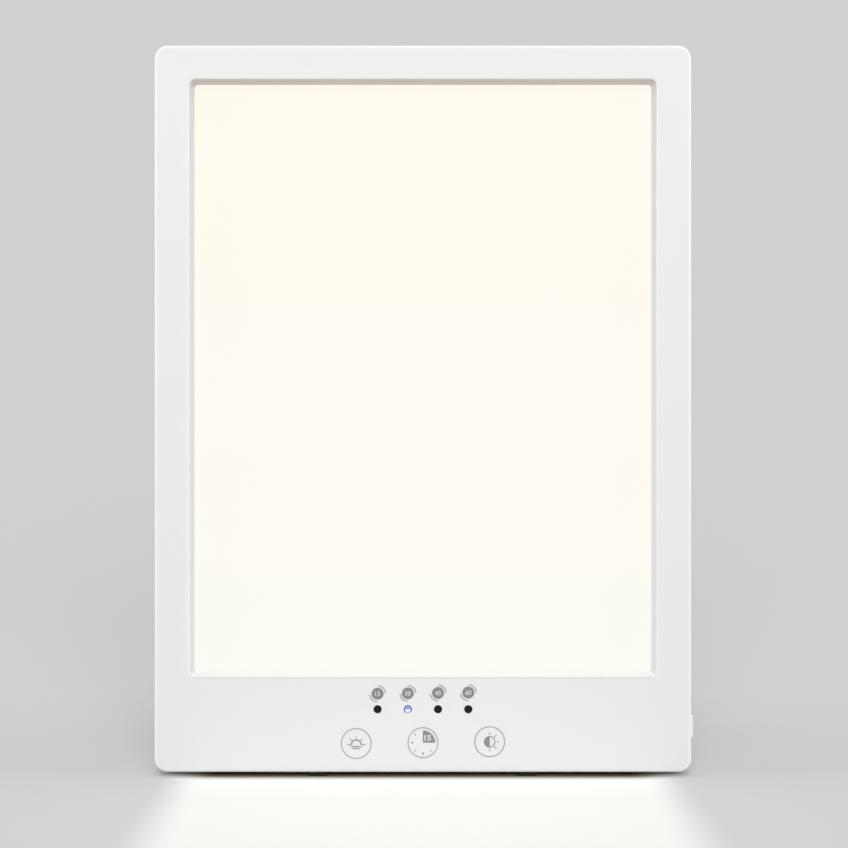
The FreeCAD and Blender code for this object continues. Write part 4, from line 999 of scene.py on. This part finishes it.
def floor_finish():
    """Pale matt floor with two things on it that the lamp throws.

    The strip of light is where x is within its half width and y is in front of the lamp's foot. Its half
    width and the softness of its sides are each a number plus a share of the way in front. The contact
    shadow is a ramp over y, from just before the front edge to well under it."""
    material, tree, shader = new_finish("pale floor", Roughness=0.9, Specular_IOR_Level=0.0)
    parts = axes(tree, place(tree))
    aside = calc(tree, "ABSOLUTE", parts["X"])
    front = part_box("front_housing")[0].y
    way = calc(tree, "MAXIMUM", calc(tree, "SUBTRACT", front, parts["Y"]), 0.0)
    side = calc(tree, "ADD", calc(tree, "MULTIPLY", way, POOL_WIDENING), POOL_HALF_WIDTH)
    softness = calc(tree, "ADD", calc(tree, "MULTIPLY", way, POOL_SOFTENING), POOL_SOFTNESS)
    past_side = calc(tree, "DIVIDE", calc(tree, "SUBTRACT", aside, side), softness)
    within = soft_fall(tree, past_side, 0.0, 1.0)
    ahead = calc(tree, "LESS_THAN", parts["Y"], front + SHADE_FULL)
    near = soft_step(tree, parts["Y"], front - POOL_LENGTH, POOL_END_SOFTNESS)
    lit_part = product(tree, within, ahead, near)
    speckle = add(tree, "ShaderNodeTexNoise", {"Vector": place(tree), "Scale": 300.0, "Detail": 3.0})
    flecked = calc(tree, "MULTIPLY", speckle.outputs[0], FLECK_SHARE)
    grey = blend_colours(tree, flecked, FLOOR_GREY, FLOOR_FLECK)
    farther = soft_step(tree, way, POOL_NEAR_END, POOL_NEAR_SOFTNESS)
    # Painted light: the strip of light is a paler floor colour.
    pooled = blend_colours(tree, lit_part, grey, blend_colours(tree, farther, POOL_NEAR_WHITE, POOL_WHITE))
    past_start = calc(tree, "SUBTRACT", parts["Y"], front + SHADE_START)
    share = calc(tree, "DIVIDE", past_start, SHADE_FULL - SHADE_START)
    shade = ramp(tree, share, CONTACT_SHADES)
    under = product(tree, soft_fall(tree, aside, SHADE_HALF_WIDTH, SHADE_SIDE_SOFTNESS),
                    calc(tree, "GREATER_THAN", share, 0.0),
                    soft_fall(tree, parts["Y"], front + SHADE_END, SHADE_END_SOFTNESS))
    # Painted contact shadow over the painted strip of light.
    tree.links.new(blend_colours(tree, under, pooled, shade), shader.inputs["Base Color"])
    return material


# %% The floor itself
FLOOR_REACH = 14.0


def floor_sheet():
    """A level square grid, from minus to plus the reach on both axes."""
    count = 9
    steps = np.linspace(-FLOOR_REACH, FLOOR_REACH, count)
    x, y = np.meshgrid(steps, steps, indexing="ij")
    points = np.stack([x.ravel(), y.ravel(), np.zeros(count * count)], 1)
    row, column = np.meshgrid(np.arange(count - 1), np.arange(count - 1), indexing="ij")
    first = (row * count + column).ravel()
    quads = np.stack([first, first + count, first + count + 1, first + 1], 1)
    mesh = bpy.data.meshes.new("floor")
    mesh.from_pydata(points.tolist(), [], quads.tolist())
    mesh.materials.append(floor_finish())
    piece = bpy.data.objects.new("floor", mesh)
    bpy.context.scene.collection.objects.link(piece)


floor_sheet()
print("the floor reaches", FLOOR_REACH, "m each way")

# %% [markdown]
# The light is that of a white tent: an even sky from everywhere, plus broad soft suns that model the
# form, one from above the camera, one from overhead and one from each side for the bright line along the
# rounded edges. Together they add up to about one, at which a colour renders as it is written.

# %% Light
SKY_LEVEL = 0.52
BACKDROP = colour(208, 208, 208)


def set_sky():
    """An even sky that lights at its level and shows as the backdrop's grey."""
    world = bpy.data.worlds.new("studio")
    bpy.context.scene.world = world
    world.use_nodes = True
    tree = world.node_tree
    light = tree.nodes["Background"]
    light.inputs["Color"].default_value = (1.0, 1.0, 1.0, 1.0)
    light.inputs["Strength"].default_value = SKY_LEVEL
    shown = add(tree, "ShaderNodeBackground", {"Color": BACKDROP, "Strength": 1.0})
    rays = add(tree, "ShaderNodeLightPath").outputs
    seen = calc(tree, "MAXIMUM", calc(tree, "MAXIMUM", rays["Is Camera Ray"], rays["Is Glossy Ray"]),
                rays["Is Transmission Ray"])
    both = add(tree, "ShaderNodeMixShader", {0: seen, 1: light.outputs[0], 2: shown.outputs[0]})
    tree.links.new(both.outputs[0], tree.nodes["World Output"].inputs["Surface"])


def soft_sun(name, towards, level, angle):
    """A broad sun. Its level is the brightness it gives a white surface that faces it."""
    lamp = bpy.data.lights.new(name, "SUN")
    lamp.energy = level * math.pi
    lamp.angle = math.radians(angle)
    holder = bpy.data.objects.new(name, lamp)
    bpy.context.scene.collection.objects.link(holder)
    holder.rotation_mode = "QUATERNION"
    holder.rotation_quaternion = mathutils.Vector(towards).to_track_quat("Z", "Y")


set_sky()
soft_sun("key", (0.06, -0.80, 0.60), 0.28, 40)
soft_sun("left side", (-0.98, -0.05, 0.15), 0.43, 30)
soft_sun("right side", (0.98, -0.05, 0.15), 0.41, 30)
soft_sun("top", (0.0, 0.05, 1.0), 0.22, 30)
print("suns", [light.name for light in bpy.data.lights])

# %% [markdown]
# The camera looks straight at the panel, so it looks down by the lean. Its distance is that of a product
# picture, and the lens follows from how much of the panel's plane the picture takes in.

# %% Camera
DISTANCE = 1.2
VIEW_WIDTH = 347.68 * MM
VIEW_CENTRE = (0.43 * MM, 0.0, 142.76 * MM)


def set_camera():
    """A camera square to the panel: it stands along the panel's normal from the middle of the view."""
    lens = bpy.data.cameras.new("camera")
    lens.sensor_width = 36.0
    lens.lens = lens.sensor_width * DISTANCE / VIEW_WIDTH
    lens.clip_end = 60.0
    holder = bpy.data.objects.new("camera", lens)
    bpy.context.scene.collection.objects.link(holder)
    holder.location = to_world([VIEW_CENTRE])[0] - np.array(PANEL_INWARD) * DISTANCE
    holder.rotation_euler = (math.radians(90) - LEAN, 0.0, 0.0)
    bpy.context.scene.camera = holder
    print("lens", round(lens.lens, 1), "mm at", np.round(holder.location, 3).tolist())


set_camera()
bpy.context.scene.view_settings.view_transform = "Standard"
